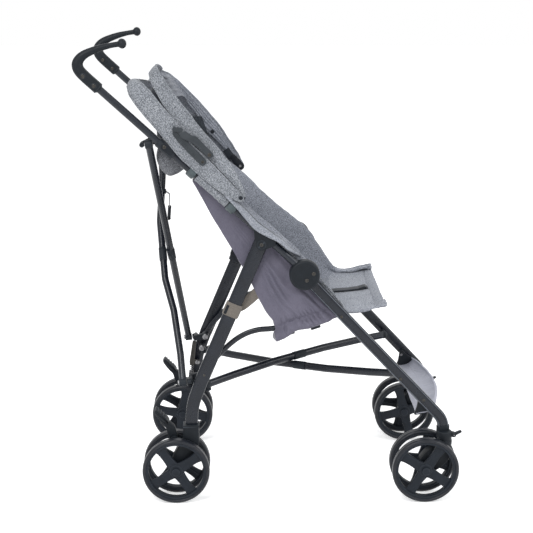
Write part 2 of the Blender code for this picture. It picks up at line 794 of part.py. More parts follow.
def foot_knuckle(name, hand):
    near = KNUCKLE_Y + KNUCKLE_T / 2
    far = KNUCKLE_Y - KNUCKLE_T / 2
    plate = strap_outline([(LINK_REAR, 0.0085), ((0.0345, 0.2745), 0.0065)])
    item = prism(name, plate, hand * near, hand * far)
    bridge = prism("bridge", disc_outline((0.0345, 0.2745), 0.0052, 10),
                   hand * (far + 0.001), hand * (BRACE_FOOT_Y + 0.004))
    normal = brace_plane_normal()
    eye = side(BRACE_FOOT, hand * BRACE_FOOT_Y)
    block = cylinder("block", eye - normal * 0.0190, eye - normal * (BRACE_R + 0.0016),
                     0.0058, 10)
    item = merge(item, [bridge, block])
    bore = y_cylinder("bore", LINK_REAR, hand * (near + 0.01), hand * (far - 0.01),
                      PIN_R + BORE_GAP)
    item = cut(item, [bore])
    black_plastic(item)
    return turn_about(smooth(item), side(LINK_REAR, hand * KNUCKLE_Y))


def rear_brace(name, hand, bow):
    # starts at this side's push tube and ends at the other side's rear leg
    top = side(BRACE_TOP, hand * BRACE_TOP_Y)
    foot = side(BRACE_FOOT, -hand * BRACE_FOOT_Y)
    normal = brace_plane_normal()
    if bow:
        shares = [(0.0, 0.0), (0.22, 0.004), (0.40, 0.0195), (0.62, 0.0195), (0.74, 0.006),
                  (0.90, 0.0), (1.0, 0.0)]
        points = [top.lerp(foot, s) + normal * d for s, d in shares]
        path = rounded_path(points, 0.10, 1)
    else:
        path = [top.lerp(foot, s) for s in (0.0, 0.25, 0.5, 0.75, 1.0)]
    item = sweep(name, path, BRACE_R, BRACE_R, 8)
    ends = [cylinder("eye", p - normal * BRACE_R, p + normal * BRACE_R, 0.0096, 12)
            for p in (top, foot)]
    cap = cylinder("cap", foot + normal * (BRACE_R - 0.002),
                   foot + normal * (BRACE_R + 0.0034), 0.0055, 10)
    item = merge(item, ends + [cap])
    centre = top.lerp(foot, BRACE_TOP_Y / (BRACE_TOP_Y + BRACE_FOOT_Y))
    shift = 0.0195 if bow else 0.0
    run = (foot - top).normalized()
    sleeve = cylinder("sleeve", centre + normal * shift - run * 0.016,
                      centre + normal * shift + run * 0.016, 0.0092, 12)
    item = merge(item, [sleeve])
    bore = cylinder("bore", top - normal * 0.03, top + normal * 0.03, 0.0033, 10)
    item = cut(item, [bore])
    powder_coat(item)
    return turn_about(smooth(item), top)


def lower_ends(hand):
    start = at(LOWER_REAR[0] + 0.0185, hand * LOWER_BRACE_Y, LOWER_REAR[1])
    end = side(LOWER_FRONT, -hand * LOWER_END_Y)
    return start, end


def lower_plane_normal():
    run = Vector((LOWER_FRONT[0] - LOWER_REAR[0], 0, LOWER_FRONT[1] - LOWER_REAR[1]))
    run.normalize()
    return Vector((-run.z, 0, run.x))


def lower_knuckle(name, hand):
    near = KNUCKLE_Y + KNUCKLE_T / 2
    far = KNUCKLE_Y - KNUCKLE_T / 2
    low = (LOWER_REAR[0] + 0.0060, LOWER_REAR[1] - 0.0100)
    item = prism(name, strap_outline([(LOWER_REAR, 0.0072), (low, 0.0045)]),
                 hand * near, hand * far)
    start, _ = lower_ends(hand)
    normal = lower_plane_normal()
    seat_top = start - normal * (LOWER_BRACE_R + 0.0008)
    tab = cylinder("tab", seat_top - normal * 0.0050, seat_top, 0.0090, 12)
    foot = start - normal * (LOWER_BRACE_R + 0.0033)
    bridge = cylinder("bridge", Vector((foot.x - 0.0120, hand * (KNUCKLE_Y - 0.001), foot.z)),
                      foot, 0.0023, 12)
    item = merge(item, [tab, bridge])
    pin = cylinder("pin", seat_top - normal * 0.002, start + normal * (LOWER_BRACE_R + 0.0012),
                   0.0028, 10)
    cap = cylinder("cap", start + normal * (LOWER_BRACE_R + 0.0006),
                   start + normal * (LOWER_BRACE_R + 0.0028), 0.0052, 10)
    item = merge(item, [pin, cap])
    bore = y_cylinder("bore", LOWER_REAR, hand * (near + 0.01), hand * (far - 0.01),
                      PIN_R + BORE_GAP)
    item = cut(item, [bore])
    black_plastic(item)
    return turn_about(smooth(item), side(LOWER_REAR, hand * KNUCKLE_Y))


def lower_brace(name, hand, lift):
    start, end = lower_ends(hand)
    normal = lower_plane_normal()
    shares = [(0.0, 0.0), (0.14, 0.0050 * lift), (0.36, 0.0100 * lift), (0.64, 0.0100 * lift),
              (0.86, 0.0050 * lift), (1.0, 0.0)]
    path = rounded_path([start.lerp(end, s) + normal * d for s, d in shares], 0.10, 1)
    r = LOWER_BRACE_R
    item = sweep(name, path, r, r, 8)
    eye = cylinder("eye", start - normal * r, start + normal * r, 0.0092, 12)
    knob = ball("knob", end, 0.0092)
    item = merge(item, [eye, knob])
    run = (end - start).normalized()
    middle = start.lerp(end, 0.5) + normal * 0.0100 * lift
    saddle = cylinder("saddle", middle - run * 0.016, middle + run * 0.016, r + 0.0013, 12)
    item = merge(item, [saddle])
    bore = cylinder("bore", start - normal * 0.03, start + normal * 0.03, 0.0031, 10)
    item = cut(item, [bore])
    powder_coat(item)
    return turn_about(smooth(item), start)


# The fold lock, its spring and the carry hook.

def fold_lock(name):
    y = FOLD_LOCK_Y
    blade = strap_outline([((0.0245, 0.2085), 0.0062), ((0.0310, 0.2590), 0.0048)])
    item = prism(name, blade, y, y + FOLD_LOCK_T)
    eye = prism("eye", strap_outline([(FOLD_LOCK_PIVOT, 0.0068), ((0.0250, 0.2085), 0.0055)]),
                y + 0.0002, y + FOLD_LOCK_T - 0.0002)
    toe = box("toe", (0.0185, y + 0.001, 0.1995), (0.0290, 0.1752, 0.2035))
    item = merge(item, [eye, toe])
    bore = y_cylinder("bore", FOLD_LOCK_PIVOT, y - 0.01, y + 0.02, 0.0030 + BORE_GAP)
    item = cut(item, [bore])
    bare_steel(item)
    return turn_about(smooth(item), side(FOLD_LOCK_PIVOT, y))


def spring_path():
    path = []
    steps = 8 * SPRING_TURNS
    for i in range(steps + 1):
        a = 2 * math.pi * i / 8
        share = i / steps
        # the last turn at each end lies nearly flat
        flat = min(1.0, max(0.0, (share - 0.08) / 0.84))
        z = SPRING_LOW + (SPRING_HIGH - SPRING_LOW) * flat + 0.0008 * share
        path.append(at(0.0237 + SPRING_R * math.cos(a), 0.1702 + SPRING_R * math.sin(a), z))
    return path


def least_gap(path, wire):
    # between points of the coil that lie half a turn or more apart along it
    least = min((path[i] - path[j]).length
                for i in range(len(path)) for j in range(i + 4, len(path)))
    return least - 2 * wire


def lock_spring(name):
    path = spring_path()
    print("lock spring least gap in mm:", round(1000 * least_gap(path, SPRING_WIRE_R), 3))
    item = sweep(name, path, SPRING_WIRE_R, SPRING_WIRE_R, 4)
    bare_steel(item)
    return turn_about(smooth(item, 80), path[0])


def carry_hook(name):
    # a clip on the left brace with a wire bail below it
    top = side(BRACE_TOP, BRACE_TOP_Y)
    foot = side(BRACE_FOOT, -BRACE_FOOT_Y)
    normal = brace_plane_normal()
    centre = top.lerp(foot, 0.284) + normal * 0.0093
    run = (top.lerp(foot, 0.34) + normal * 0.0135) - (top.lerp(foot, 0.24) + normal * 0.0055)
    run.normalize()
    item = cylinder(name, centre - run * 0.0045, centre + run * 0.0045, 0.0108, 12)
    y, z = centre.y, centre.z
    front = centre.x + 0.0130
    wire = [Vector((front - 0.006, y, z + 0.001)), Vector((front + 0.005, y, z - 0.006)),
            Vector((front + 0.005, y, z - 0.036))]
    bail = sweep("bail", rounded_path(wire, 0.004, 3), 0.0013, 0.0013, 8)
    clip = cylinder("clip", Vector((front + 0.005, y, z - 0.034)),
                    Vector((front + 0.003, y, z - 0.062)), 0.0042, 10)
    bead = ball("bead", Vector((front + 0.0027, y, z - 0.0650)), 0.0048, 10, 5)
    item = merge(item, [bail, clip, bead])
    hole = cylinder("hole", centre - run * 0.02, centre + run * 0.02, BRACE_R + 0.0007, 12)
    item = cut(item, [hole])
    bare_steel(item)
    return turn_about(smooth(item), centre)


# Soft goods, each a simple closed solid.

def band_of(outline, thick):
    # moves an open chain of side view points along its own normal
    out = []
    for i, point in enumerate(outline):
        a = outline[max(i - 1, 0)]
        b = outline[min(i + 1, len(outline) - 1)]
        run = Vector((b[0] - a[0], b[1] - a[1])).normalized()
        out.append((point[0] - run.y * thick, point[1] + run.x * thick))
    return out


def seat_skirt(name):
    back = [(0.040, 0.725), (0.052, 0.699), (0.069, 0.660), (0.086, 0.627), (0.105, 0.593),
            (0.130, 0.556), (0.151, 0.526), (0.174, 0.485), (0.192, 0.447), (0.207, 0.408),
            (0.220, 0.370)]
    hem = [(0.230, 0.368), (0.261, 0.381), (0.320, 0.398), (0.340, 0.408)]
    top = [(0.336, 0.436), (0.300, 0.482), (0.262, 0.528), (0.222, 0.5740), (0.150, 0.6480),
           (0.095, 0.698), (0.060, 0.729)]
    item = prism(name, back + hem + top, -SKIRT_Y, SKIRT_Y)
    inner = band_of(back, SKIRT_T)
    first = (inner[0][0] - 0.02, inner[0][1] + 0.05)
    last = (inner[-1][0] + 0.02, inner[-1][1] - 0.05)
    hollow = [first] + inner + [last, (0.5, 0.30), (0.5, 0.80)]
    half = SKIRT_Y - SKIRT_T
    # the back ends above the side links, which run on inside the walls
    slot = box("slot", (0.15, -half, 0.30), (0.32, half, 0.428))
    item = cut(item, [prism("hollow", hollow, -half, half), slot])
    lining_cloth(item)
    return turn_about(smooth(item, 30), side(HUB_C, 0))


SLING_STATIONS = [
    # edge point, bottom point, half width of the edge, half width of the bottom
    ((0.050, 0.752), (0.062, 0.722), 0.170, 0.120),
    ((0.105, 0.703), (0.096, 0.650), 0.184, 0.132),
    ((0.165, 0.663), (0.134, 0.585), 0.184, 0.136),
    ((0.225, 0.610), (0.178, 0.515), 0.184, 0.138),
    ((0.272, 0.553), (0.222, 0.442), 0.1782, 0.138),
    ((0.312, 0.518), (0.272, 0.412), 0.170, 0.138),
    ((0.352, 0.466), (0.330, 0.420), 0.166, 0.140),
    ((0.400, 0.444), (0.384, 0.430), 0.160, 0.142),
    ((0.466, 0.456), (0.464, 0.447), 0.152, 0.144),
]


def sling_ring(edge, low, edge_half, low_half):
    inner = [(-edge_half, 0.0), (-edge_half + 0.014, -0.03), (-low_half - 0.004, 0.45),
             (-low_half + 0.010, 0.84), (-low_half + 0.045, 1.0), (0.0, 1.03),
             (low_half - 0.045, 1.0), (low_half - 0.010, 0.84), (low_half + 0.004, 0.45),
             (edge_half - 0.014, -0.03), (edge_half, 0.0)]
    deep = Vector((low[0] - edge[0], low[1] - edge[1]))
    down = deep.normalized()
    ring = []
    for y, share in inner:
        ring.append(at(edge[0] + deep.x * share, y, edge[1] + deep.y * share))
    for y, share in reversed(inner):
        flat = abs(y) / edge_half
        push = SLING_T if flat < 0.9 else SLING_T * 0.8
        slide = 0.0
        if 0.2 < share < 0.9:
            slide = math.copysign(0.005, y)
            push = SLING_T * 0.4
        x = edge[0] + deep.x * share + down.x * push
        z = edge[1] + deep.y * share + down.y * push
        ring.append(at(x, y + slide, z))
    return ring


def seat_sling(name):
    rings = [sling_ring(*station) for station in SLING_STATIONS]
    item = stack_rings(name, rings)
    heather_cloth(item)
    return turn_about(smooth(item, 50), side(HUB_C, 0))


def crotch_strap(name):
    # it lies along the middle of the sling's front flap
    path = [(0.3450, 0.4224), (0.3835, 0.4301), (0.4100, 0.4357), (0.4360, 0.4413)]
    rings = []
    for x, z in path:
        rings.append([at(x, -0.012, z), at(x, 0.012, z),
                      at(x, 0.012, z + 0.003), at(x, -0.012, z + 0.003)])
    item = stack_rings(name, rings)
    black_plastic(item)
    return turn_about(item, side(LINK_FRONT, 0))


def footrest(name):
    rings = []
    for k in range(13):
        share = -1 + 2 * k / 12
        y = (LEG_Y - LEG_T / 2 - GAP) * share
        bulge = 1 - share * share
        front = 0.5740 + 0.0300 * bulge
        ring = [(0.5330, 0.1690), (0.5500, 0.1780), (front - 0.012, 0.2080),
                (front, 0.2130), (front + 0.0045, 0.2080), (front + 0.001, 0.2000),
                (0.5570, 0.1720), (0.5345, 0.1640)]
        rings.append([at(x, y, z) for x, z in ring])
    item = stack_rings(name, rings)
    coat(item, (0.30, 0.30, 0.34), 0.0, 0.85)
    return turn_about(smooth(item, 50), side(FOOT_PIVOT, 0))


HOOD_ALONG = Vector((math.cos(HOOD_TILT), 0.0, math.sin(HOOD_TILT)))
HOOD_UP = Vector((math.sin(HOOD_TILT), 0.0, -math.cos(HOOD_TILT)))


def hood_band(name, reach, lift, half_width, half_high, thick, corner):
    pivot = at(HOOD_PIVOT[0], 0, HOOD_PIVOT[1])

    def place(e, y, m):
        return pivot + HOOD_ALONG * e + HOOD_UP * m + Vector((0, y, 0))

    w = half_width
    points = [place(0.005, -w, lift * 0.005 / reach), place(reach * 0.5, -w, lift * 0.6),
              place(reach, -w, lift), place(reach, w, lift),
              place(reach * 0.5, w, lift * 0.6), place(0.005, w, lift * 0.005 / reach)]
    path = rounded_path(points, corner, 2)

    def high(share):
        ends = min(share, 1 - share) / 0.18
        return half_high * (0.35 + 0.65 * min(1.0, ends))

    item = sweep(name, path, thick, high, 8, HOOD_UP)
    for hand in (RIGHT, LEFT):
        eye = y_cylinder("eye", HOOD_PIVOT, hand * (w - thick), hand * (w + thick),
                         0.0100)
        item = merge(item, [eye])
    return item


def hood_rear(name):
    item = hood_band(name, HOOD_REAR_REACH, 0.0020, HOOD_REAR_Y, 0.0150,
                     HOOD_BAND_T / 2, 0.05)
    low = (0.1290, 0.6690)
    for hand in (RIGHT, LEFT):
        foot = prism("foot", strap_outline([(HOOD_PIVOT, 0.0085), (low, 0.0080)]),
                     hand * (HOOD_REAR_Y - HOOD_BAND_T / 2 + 0.0002),
                     hand * (HOOD_REAR_Y + HOOD_BAND_T / 2 - 0.0002))
        pin = y_cylinder("pin", HOOD_PIVOT, hand * HOOD_REAR_Y,
                         hand * (HOOD_FRONT_Y - 0.0032), 0.0030, 10)
        peg = y_cylinder("peg", STAY_REAR, hand * HOOD_REAR_Y,
                         hand * (STAY_Y + STAY_T / 2), STAY_PEG_R)
        item = merge(item, [foot, pin, peg])
    heather_cloth(item)
    return turn_about(smooth(item, 50), side(HOOD_PIVOT, 0))


def hood_front(name):
    item = hood_band(name, HOOD_FRONT_REACH, 0.0430, HOOD_FRONT_Y, 0.0120,
                     HOOD_BAND_T / 2, 0.05)
    bosses = [y_cylinder("boss", STAY_FRONT, hand * HOOD_FRONT_Y,
                         hand * (stay_layer() - GAP), 0.0045) for hand in (RIGHT, LEFT)]
    item = merge(item, bosses)
    bores = [y_cylinder("bore", HOOD_PIVOT, hand * 0.19, hand * 0.23, 0.0030 + BORE_GAP, 10)
             for hand in (RIGHT, LEFT)]
    item = cut(item, bores)
    heather_cloth(item)
    return turn_about(smooth(item, 50), side(HOOD_PIVOT, 0))


def hood_fan(name):
    rings = []
    pivot = at(HOOD_PIVOT[0], 0, HOOD_PIVOT[1])
    w = HOOD_FRONT_Y - HOOD_BAND_T / 2 - GAP
    reach = HOOD_FRONT_REACH - HOOD_BAND_T / 2 - GAP
    points = [(0.040, -w), (reach - 0.05, -w), (reach - 0.012, -w + 0.014), (reach, -w + 0.05),
              (reach, 0.0), (reach, w - 0.05), (reach - 0.012, w - 0.014), (reach - 0.05, w),
              (0.040, w)]
    folds = [(0.004, 0.0), (0.008, 0.0028), (0.013, 0.0), (0.018, 0.0028), (0.023, 0.0),
             (0.028, 0.0028), (0.033, 0.0)]
    for e, y in points:
        grow = min(1.0, e / 0.25)
        centre = Vector((0.10, 0.0))
        inward = Vector((centre.x - e, centre.y - y)).normalized()
        ring = [(m * grow, fold) for m, fold in folds]
        ring += [(m * grow, fold + 0.0030) for m, fold in reversed(folds)]
        rings.append([pivot + HOOD_ALONG * (e + inward.x * d)
                      + Vector((0, y + inward.y * d, 0)) + HOOD_UP * m for m, d in ring])
    item = stack_rings(name, rings)
    heather_cloth(item)
    return turn_about(smooth(item, 50), side(HOOD_PIVOT, 0))


def hood_point(e, m):
    place = Vector((HOOD_PIVOT[0], 0, HOOD_PIVOT[1])) + HOOD_ALONG * e + HOOD_UP * m
    return (place.x, place.z)


STAY_REAR = hood_point(*STAY_REAR_AT)
STAY_FRONT = hood_point(*STAY_FRONT_AT)
STAY_REAR_END = hood_point(*STAY_REAR_END_AT)
STAY_FRONT_END = hood_point(*STAY_FRONT_END_AT)
STAY_ELBOW = hood_point(*STAY_ELBOW_AT)


def stay_layer():
    return STAY_Y + STAY_T / 2 + LAYER_GAP


def stay_rear(name, hand):
    # the lower arm, from its peg on the rear band up to the elbow
    low, high = hand * (STAY_Y - STAY_T / 2), hand * (STAY_Y + STAY_T / 2)
    item = prism(name, strap_outline([(STAY_REAR, 0.0062), (STAY_REAR_END, 0.0046)]),
                 low, high)
    tab = prism("tab", strap_outline([(STAY_REAR_END, 0.0044), (STAY_ELBOW, 0.0048)]),
                low + hand * 0.0001, high - hand * 0.0001)
    item = merge(item, [tab])
    bores = [y_cylinder("bore", place, hand * 0.21, hand * 0.23, STAY_PEG_R + BORE_GAP)
             for place in (STAY_REAR, STAY_ELBOW)]
    item = cut(item, bores)
    black_plastic(item)
    return turn_about(smooth(item), side(STAY_REAR, hand * STAY_Y))


def stay_front(name, hand):
    # the upper arm, which hangs on the elbow and lies over its boss on the front band
    low = hand * stay_layer()
    high = hand * (stay_layer() + STAY_T)
    item = prism(name, strap_outline([(STAY_FRONT, 0.0070), (STAY_FRONT_END, 0.0060)]),
                 low, high)
    tab = prism("tab", strap_outline([(STAY_FRONT_END, 0.0050), (STAY_ELBOW, 0.0048)]),
                low + hand * 0.0001, high - hand * 0.0001)
    rivet = y_cylinder("rivet", STAY_FRONT, low + hand * 0.001,
                       high + hand * RIVET_T, RIVET_R, 8)
    pin = y_cylinder("pin", STAY_ELBOW, low + hand * 0.001,
                     hand * (STAY_Y - STAY_T / 2 - 0.0001), STAY_PEG_R)
    item = merge(item, [tab, rivet, pin])
    black_plastic(item)
    return turn_about(smooth(item), side(STAY_ELBOW, hand * STAY_Y))


def rear_pouch(name):
    # it hangs between the heads of the brace clamps' pins
    half = KNUCKLE_ARM_Y - KNUCKLE_ARM_T - PIN_HEAD_T - 2 * GAP
    rings = []
    for k in range(9):
        share = -1 + 2 * k / 8
        y = half * share
        full = 1.0 - 0.18 * abs(share) ** 4
        deep = 1.0 + 0.10 * math.cos(share * math.pi * 1.5)
        outline = [(-0.0260, 0.8050), (-0.0285, 0.7850), (-0.0270, 0.7580),
                   (-0.0180, 0.7400), (-0.0020, 0.7330), (0.0150, 0.7340),
                   (0.0290, 0.7400), (0.0360, 0.7470), (0.0100, 0.7715)]
        ring = []
        for x, z in outline:
            top = 0.7900 - (x + 0.010) * 0.9
            ring.append(at(x, y, top + (z - top) * full * (deep if z < top else 1.0)))
        rings.append(ring)
    item = stack_rings(name, rings)
    heather_cloth(item)
    return turn_about(smooth(item, 50), side(BRACE_TOP_PIVOT, 0))


def leg_strap(name):
    low = (0.1180, 0.4180)
    high = (0.1298, 0.4458)
    y = -LEG_Y
    path = [side(low, y), side(high, y)]
    y_way = Vector((0, 1, 0))
    item = sweep(name, path, REAR_LEG_W_TOP / 2 + 0.0024, LEG_T / 2 + 0.0026, 16, y_way)
    run = (path[1] - path[0]).normalized()
    inner = [path[0] - run * 0.01, path[1] + run * 0.01]
    hole = sweep("hole", inner, REAR_LEG_W_TOP / 2 + 0.0006, LEG_T / 2 + 0.0006, 16, y_way)
    item = cut(item, [hole])
    tail = prism("tail", [(0.1260, 0.4250), (0.1420, 0.4230), (0.1960, 0.4700),
                          (0.1900, 0.4900), (0.1360, 0.4470)], -0.1751, -0.1733)
    item = merge(item, [tail])
    strap_web(item)
    return turn_about(smooth(item, 40), path[0])


# Every piece, with its name.

def build_side(hand, word):
    push_tube(word + "_push_tube", hand)
    grip(word + "_grip", hand)
    hub(word + "_hinge_hub", hand)
    leg_bracket(word + "_leg_bracket", hand)
    brace_clamp(word + "_brace_clamp", hand)
    front_leg(word + "_front_leg", hand)
    rear_leg(word + "_rear_leg", hand)
    side_link(word + "_side_link", hand)
    caster_socket(word + "_caster_socket", hand)
    caster_fork(word + "_caster_fork", hand)
    swivel_lock(word + "_swivel_lock", hand)
    rear_axle_block(word + "_rear_axle_block", hand)
    brake_pedal(word + "_brake_pedal", hand)
    top_knuckle(word + "_brace_top_knuckle", hand)
    foot_knuckle(word + "_brace_foot_knuckle", hand)
    lower_knuckle(word + "_lower_knuckle", hand)
    rear_brace(word + "_rear_brace", hand, hand == LEFT)
    lower_brace(word + "_lower_brace", hand, 1 if hand == RIGHT else -1)
    stay_rear(word + "_hood_stay_rear", hand)
    stay_front(word + "_hood_stay_front", hand)
    # no two wheels stopped at the same turn
    for label, centre, middle, phase in (("front", FRONT_AXLE, FRONT_PAIR_Y, 57),
                                         ("rear", REAR_AXLE, REAR_PAIR_Y, 34)):
        for way, offset in (("outer", WHEEL_PAIR_HALF), ("inner", -WHEEL_PAIR_HALF)):
            name = word + "_" + label + "_wheel_" + way
            turn = phase + (20 if way == "inner" else 0) + (27 if hand == LEFT else 0)
            wheel(name, centre, hand * (middle + offset), math.radians(turn))


def build_all():
    clear_scene()
    build_side(RIGHT, "right")
    build_side(LEFT, "left")
    fold_lock("fold_lock")
    lock_spring("lock_spring")
    carry_hook("carry_hook")
    seat_skirt("seat_skirt")
    seat_sling("seat_sling")
    crotch_strap("crotch_strap")
    footrest("footrest")
    hood_rear("hood_rear")
    hood_fan("hood_fan")
    hood_front("hood_front")
    rear_pouch("rear_pouch")
    leg_strap("leg_strap")


build_all()
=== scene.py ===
# Looks for a folding pushchair with a reclined cloth seat and a folded-back hood.
# Places in the side view are (along, up): along is measured from the rear axle and
# up from the floor. -Y is the right side and +X the way it is pushed.
import math

import bmesh
import bpy
import numpy as np
from mathutils import Matrix, Vector, noise


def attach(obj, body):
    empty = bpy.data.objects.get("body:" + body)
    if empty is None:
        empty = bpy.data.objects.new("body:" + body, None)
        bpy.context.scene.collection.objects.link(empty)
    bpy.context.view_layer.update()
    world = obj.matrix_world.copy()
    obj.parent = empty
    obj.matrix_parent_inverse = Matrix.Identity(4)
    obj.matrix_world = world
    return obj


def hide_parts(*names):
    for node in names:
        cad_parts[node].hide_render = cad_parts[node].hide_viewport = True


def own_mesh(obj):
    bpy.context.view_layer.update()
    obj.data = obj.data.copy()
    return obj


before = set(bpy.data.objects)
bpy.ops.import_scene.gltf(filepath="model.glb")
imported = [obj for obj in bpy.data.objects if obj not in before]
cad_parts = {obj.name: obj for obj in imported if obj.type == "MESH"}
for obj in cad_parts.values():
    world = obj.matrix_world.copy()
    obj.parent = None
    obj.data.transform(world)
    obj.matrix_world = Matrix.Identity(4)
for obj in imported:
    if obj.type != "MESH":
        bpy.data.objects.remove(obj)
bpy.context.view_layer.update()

REAR_AXLE_X = -0.2193
RIGHT, LEFT = -1, 1
WORDS = {RIGHT: "right", LEFT: "left"}
Y_WAY = Vector((0, 1, 0))
Z_WAY = Vector((0, 0, 1))

# Layers and sizes, the same as in the part's source.
WHEEL_R = 0.075
WHEEL_W = 0.022
WHEEL_PAIR_HALF = 0.0290
LEG_Y = 0.183
LEG_T = 0.014
LEG_IN = LEG_Y - LEG_T / 2
HUB_T = 0.024
LAYER = 0.0015
FRAME_IN = LEG_Y + LEG_T / 2 + LAYER
TUBE_HUB_Y = FRAME_IN + 0.010
TUBE_END_Y = 0.2055
LINK_T = 0.010
LINK_Y = LEG_Y - LEG_T / 2 - 0.0095 - LINK_T / 2
KNUCKLE_T = 0.011
KNUCKLE_Y = LINK_Y - LINK_T / 2 - LAYER - KNUCKLE_T / 2
KNUCKLE_OUT, KNUCKLE_IN = KNUCKLE_Y + KNUCKLE_T / 2, KNUCKLE_Y - KNUCKLE_T / 2
FRONT_PAIR_Y = 0.189
REAR_PAIR_Y = LEG_Y
TUBE_LOW = (0.2750, 0.5370)
TUBE_TOP = (-0.1500, 0.9250)
HUB_C = (0.2835, 0.5223)
HUB_R = 0.033
LEG_PIVOT = (0.3027, 0.5273)
HUB_RIVET = (0.2880, 0.5122)
REAR_PIVOT = (0.1905, 0.5908)
LINK_FRONT = (0.3661, 0.4232)
LINK_REAR = (0.0587, 0.2780)
BRACE_TOP_PIVOT = (-0.0136, 0.8025)
BRACE_TOP = (-0.0475, 0.8060)
BRACE_FOOT = (0.0165, 0.2700)
LOWER_REAR = (0.0500, 0.2490)
LOWER_FRONT = (0.5000, 0.2790)
FOOT_PIVOT = (0.5530, 0.2291)
CASTER_X = 0.6020
FRONT_AXLE = (0.5575, WHEEL_R)
REAR_AXLE = (0.0, WHEEL_R)
HOOD_PIVOT = (0.1460, 0.6940)
BRAKE_PIVOT = (-0.0040, 0.1420)
LOCK_PIVOT = (CASTER_X + 0.0212, 0.1475)
LOCK_TIP = (CASTER_X + 0.0365, 0.1545)
FOLD_LOCK_PIVOT = (0.0380, 0.2080)
PUSH_R = 0.0080
GRIP_R = 0.0118
FRONT_LEG_W = 0.0245
REAR_LEG_W_TOP = 0.0320
REAR_LEG_W_LOW = 0.0275
LINK_W = 0.0120
BRACE_R = 0.0080
LOWER_BRACE_R = 0.0078
RIVET_R = 0.0042
RIVET_T = 0.0014
BRACE_TOP_Y = 0.1950
BRACE_FOOT_Y = 0.1750
KNUCKLE_ARM_Y = 0.1815
KNUCKLE_ARM_T = 0.0077
LOWER_BRACE_Y = 0.1300
LOWER_END_Y = 0.1500
FOLD_LOCK_Y = 0.1580
FOLD_LOCK_T = 0.0050
HOOD_REAR_Y = 0.2142
HOOD_FRONT_Y = 0.2078
HOOD_REAR_REACH = 0.3350
HOOD_FRONT_REACH = 0.3120
HOOD_TILT = math.radians(135.5)
HOOD_ALONG = Vector((math.cos(HOOD_TILT), 0.0, math.sin(HOOD_TILT)))
HOOD_UP = Vector((math.sin(HOOD_TILT), 0.0, -math.cos(HOOD_TILT)))
STAY_Y = 0.2185
STAY_T = 0.0026


def at(x, y, z):
    return Vector((x + REAR_AXLE_X, y, z))


def side(point, y):
    return at(point[0], y, point[1])


# Camera, light and surroundings.

CAMERA_PLACE = (-0.0813, -2.887, 1.201)
CAMERA_PITCH, CAMERA_YAW, CAMERA_ROLL = 13.81, 1.35, 0.08
CAMERA_LENS = 86.59


def add_camera():
    data = bpy.data.cameras.new("view")
    data.sensor_fit = "HORIZONTAL"
    data.sensor_width = 36.0
    data.lens = CAMERA_LENS
    camera = bpy.data.objects.new("view", data)
    bpy.context.scene.collection.objects.link(camera)
    pitch, yaw, roll = (math.radians(v) for v in (CAMERA_PITCH, CAMERA_YAW, CAMERA_ROLL))
    forward = Vector((math.sin(yaw) * math.cos(pitch), math.cos(yaw) * math.cos(pitch),
                      -math.sin(pitch)))
    turn = forward.to_track_quat("-Z", "Y").to_matrix().to_4x4()
    camera.matrix_world = (Matrix.Translation(CAMERA_PLACE) @ turn
                           @ Matrix.Rotation(roll, 4, Z_WAY))
    bpy.context.scene.camera = camera
    bpy.context.scene.view_settings.view_transform = "Standard"


def light_giver(tree, kind, colour, strength):
    step = tree.nodes.new(kind)
    step.inputs["Color"].default_value = colour
    step.inputs["Strength"].default_value = strength
    return step.outputs[0]


def split_rays(tree, unseen, seen, out):
    """Rays that see the background find one shader, and the light it gives is the other."""
    path = tree.nodes.new("ShaderNodeLightPath")
    sees = path.outputs["Is Camera Ray"]
    for name in ("Is Glossy Ray", "Is Transmission Ray"):
        either = tree.nodes.new("ShaderNodeMath")
        either.operation = "MAXIMUM"
        tree.links.new(sees, either.inputs[0])
        tree.links.new(path.outputs[name], either.inputs[1])
        sees = either.outputs[0]
    mix = tree.nodes.new("ShaderNodeMixShader")
    for source, socket in zip((sees, unseen, seen), mix.inputs):
        tree.links.new(source, socket)
    tree.links.new(mix.outputs[0], out.inputs["Surface"])


def add_world():
    world = bpy.data.worlds.new("studio")
    bpy.context.scene.world = world
    world.use_nodes = True
    tree = world.node_tree
    tree.nodes.clear()
    out = tree.nodes.new("ShaderNodeOutputWorld")
    lit = light_giver(tree, "ShaderNodeBackground", (0.97, 0.985, 1.0, 1), 0.62)
    seen = light_giver(tree, "ShaderNodeBackground", (1, 1, 1, 1), 1.0)
    split_rays(tree, lit, seen, out)


def add_lamp(name, place, size, power):
    """A round lamp aimed at the middle of the seat."""
    data = bpy.data.lights.new(name, "AREA")
    data.shape = "DISK"
    data.size = size
    data.energy = power
    lamp = bpy.data.objects.new(name, data)
    bpy.context.scene.collection.objects.link(lamp)
    lamp.location = place
    way = Vector((0, 0, 0.5)) - Vector(place)
    lamp.rotation_euler = way.to_track_quat("-Z", "Y").to_euler()


def add_lights():
    add_lamp("key", (-1.3, -2.4, 2.9), 1.6, 62)
    add_lamp("front", (2.4, -1.4, 2.0), 1.8, 30)
    add_lamp("back", (-0.6, 2.4, 2.6), 2.0, 22)


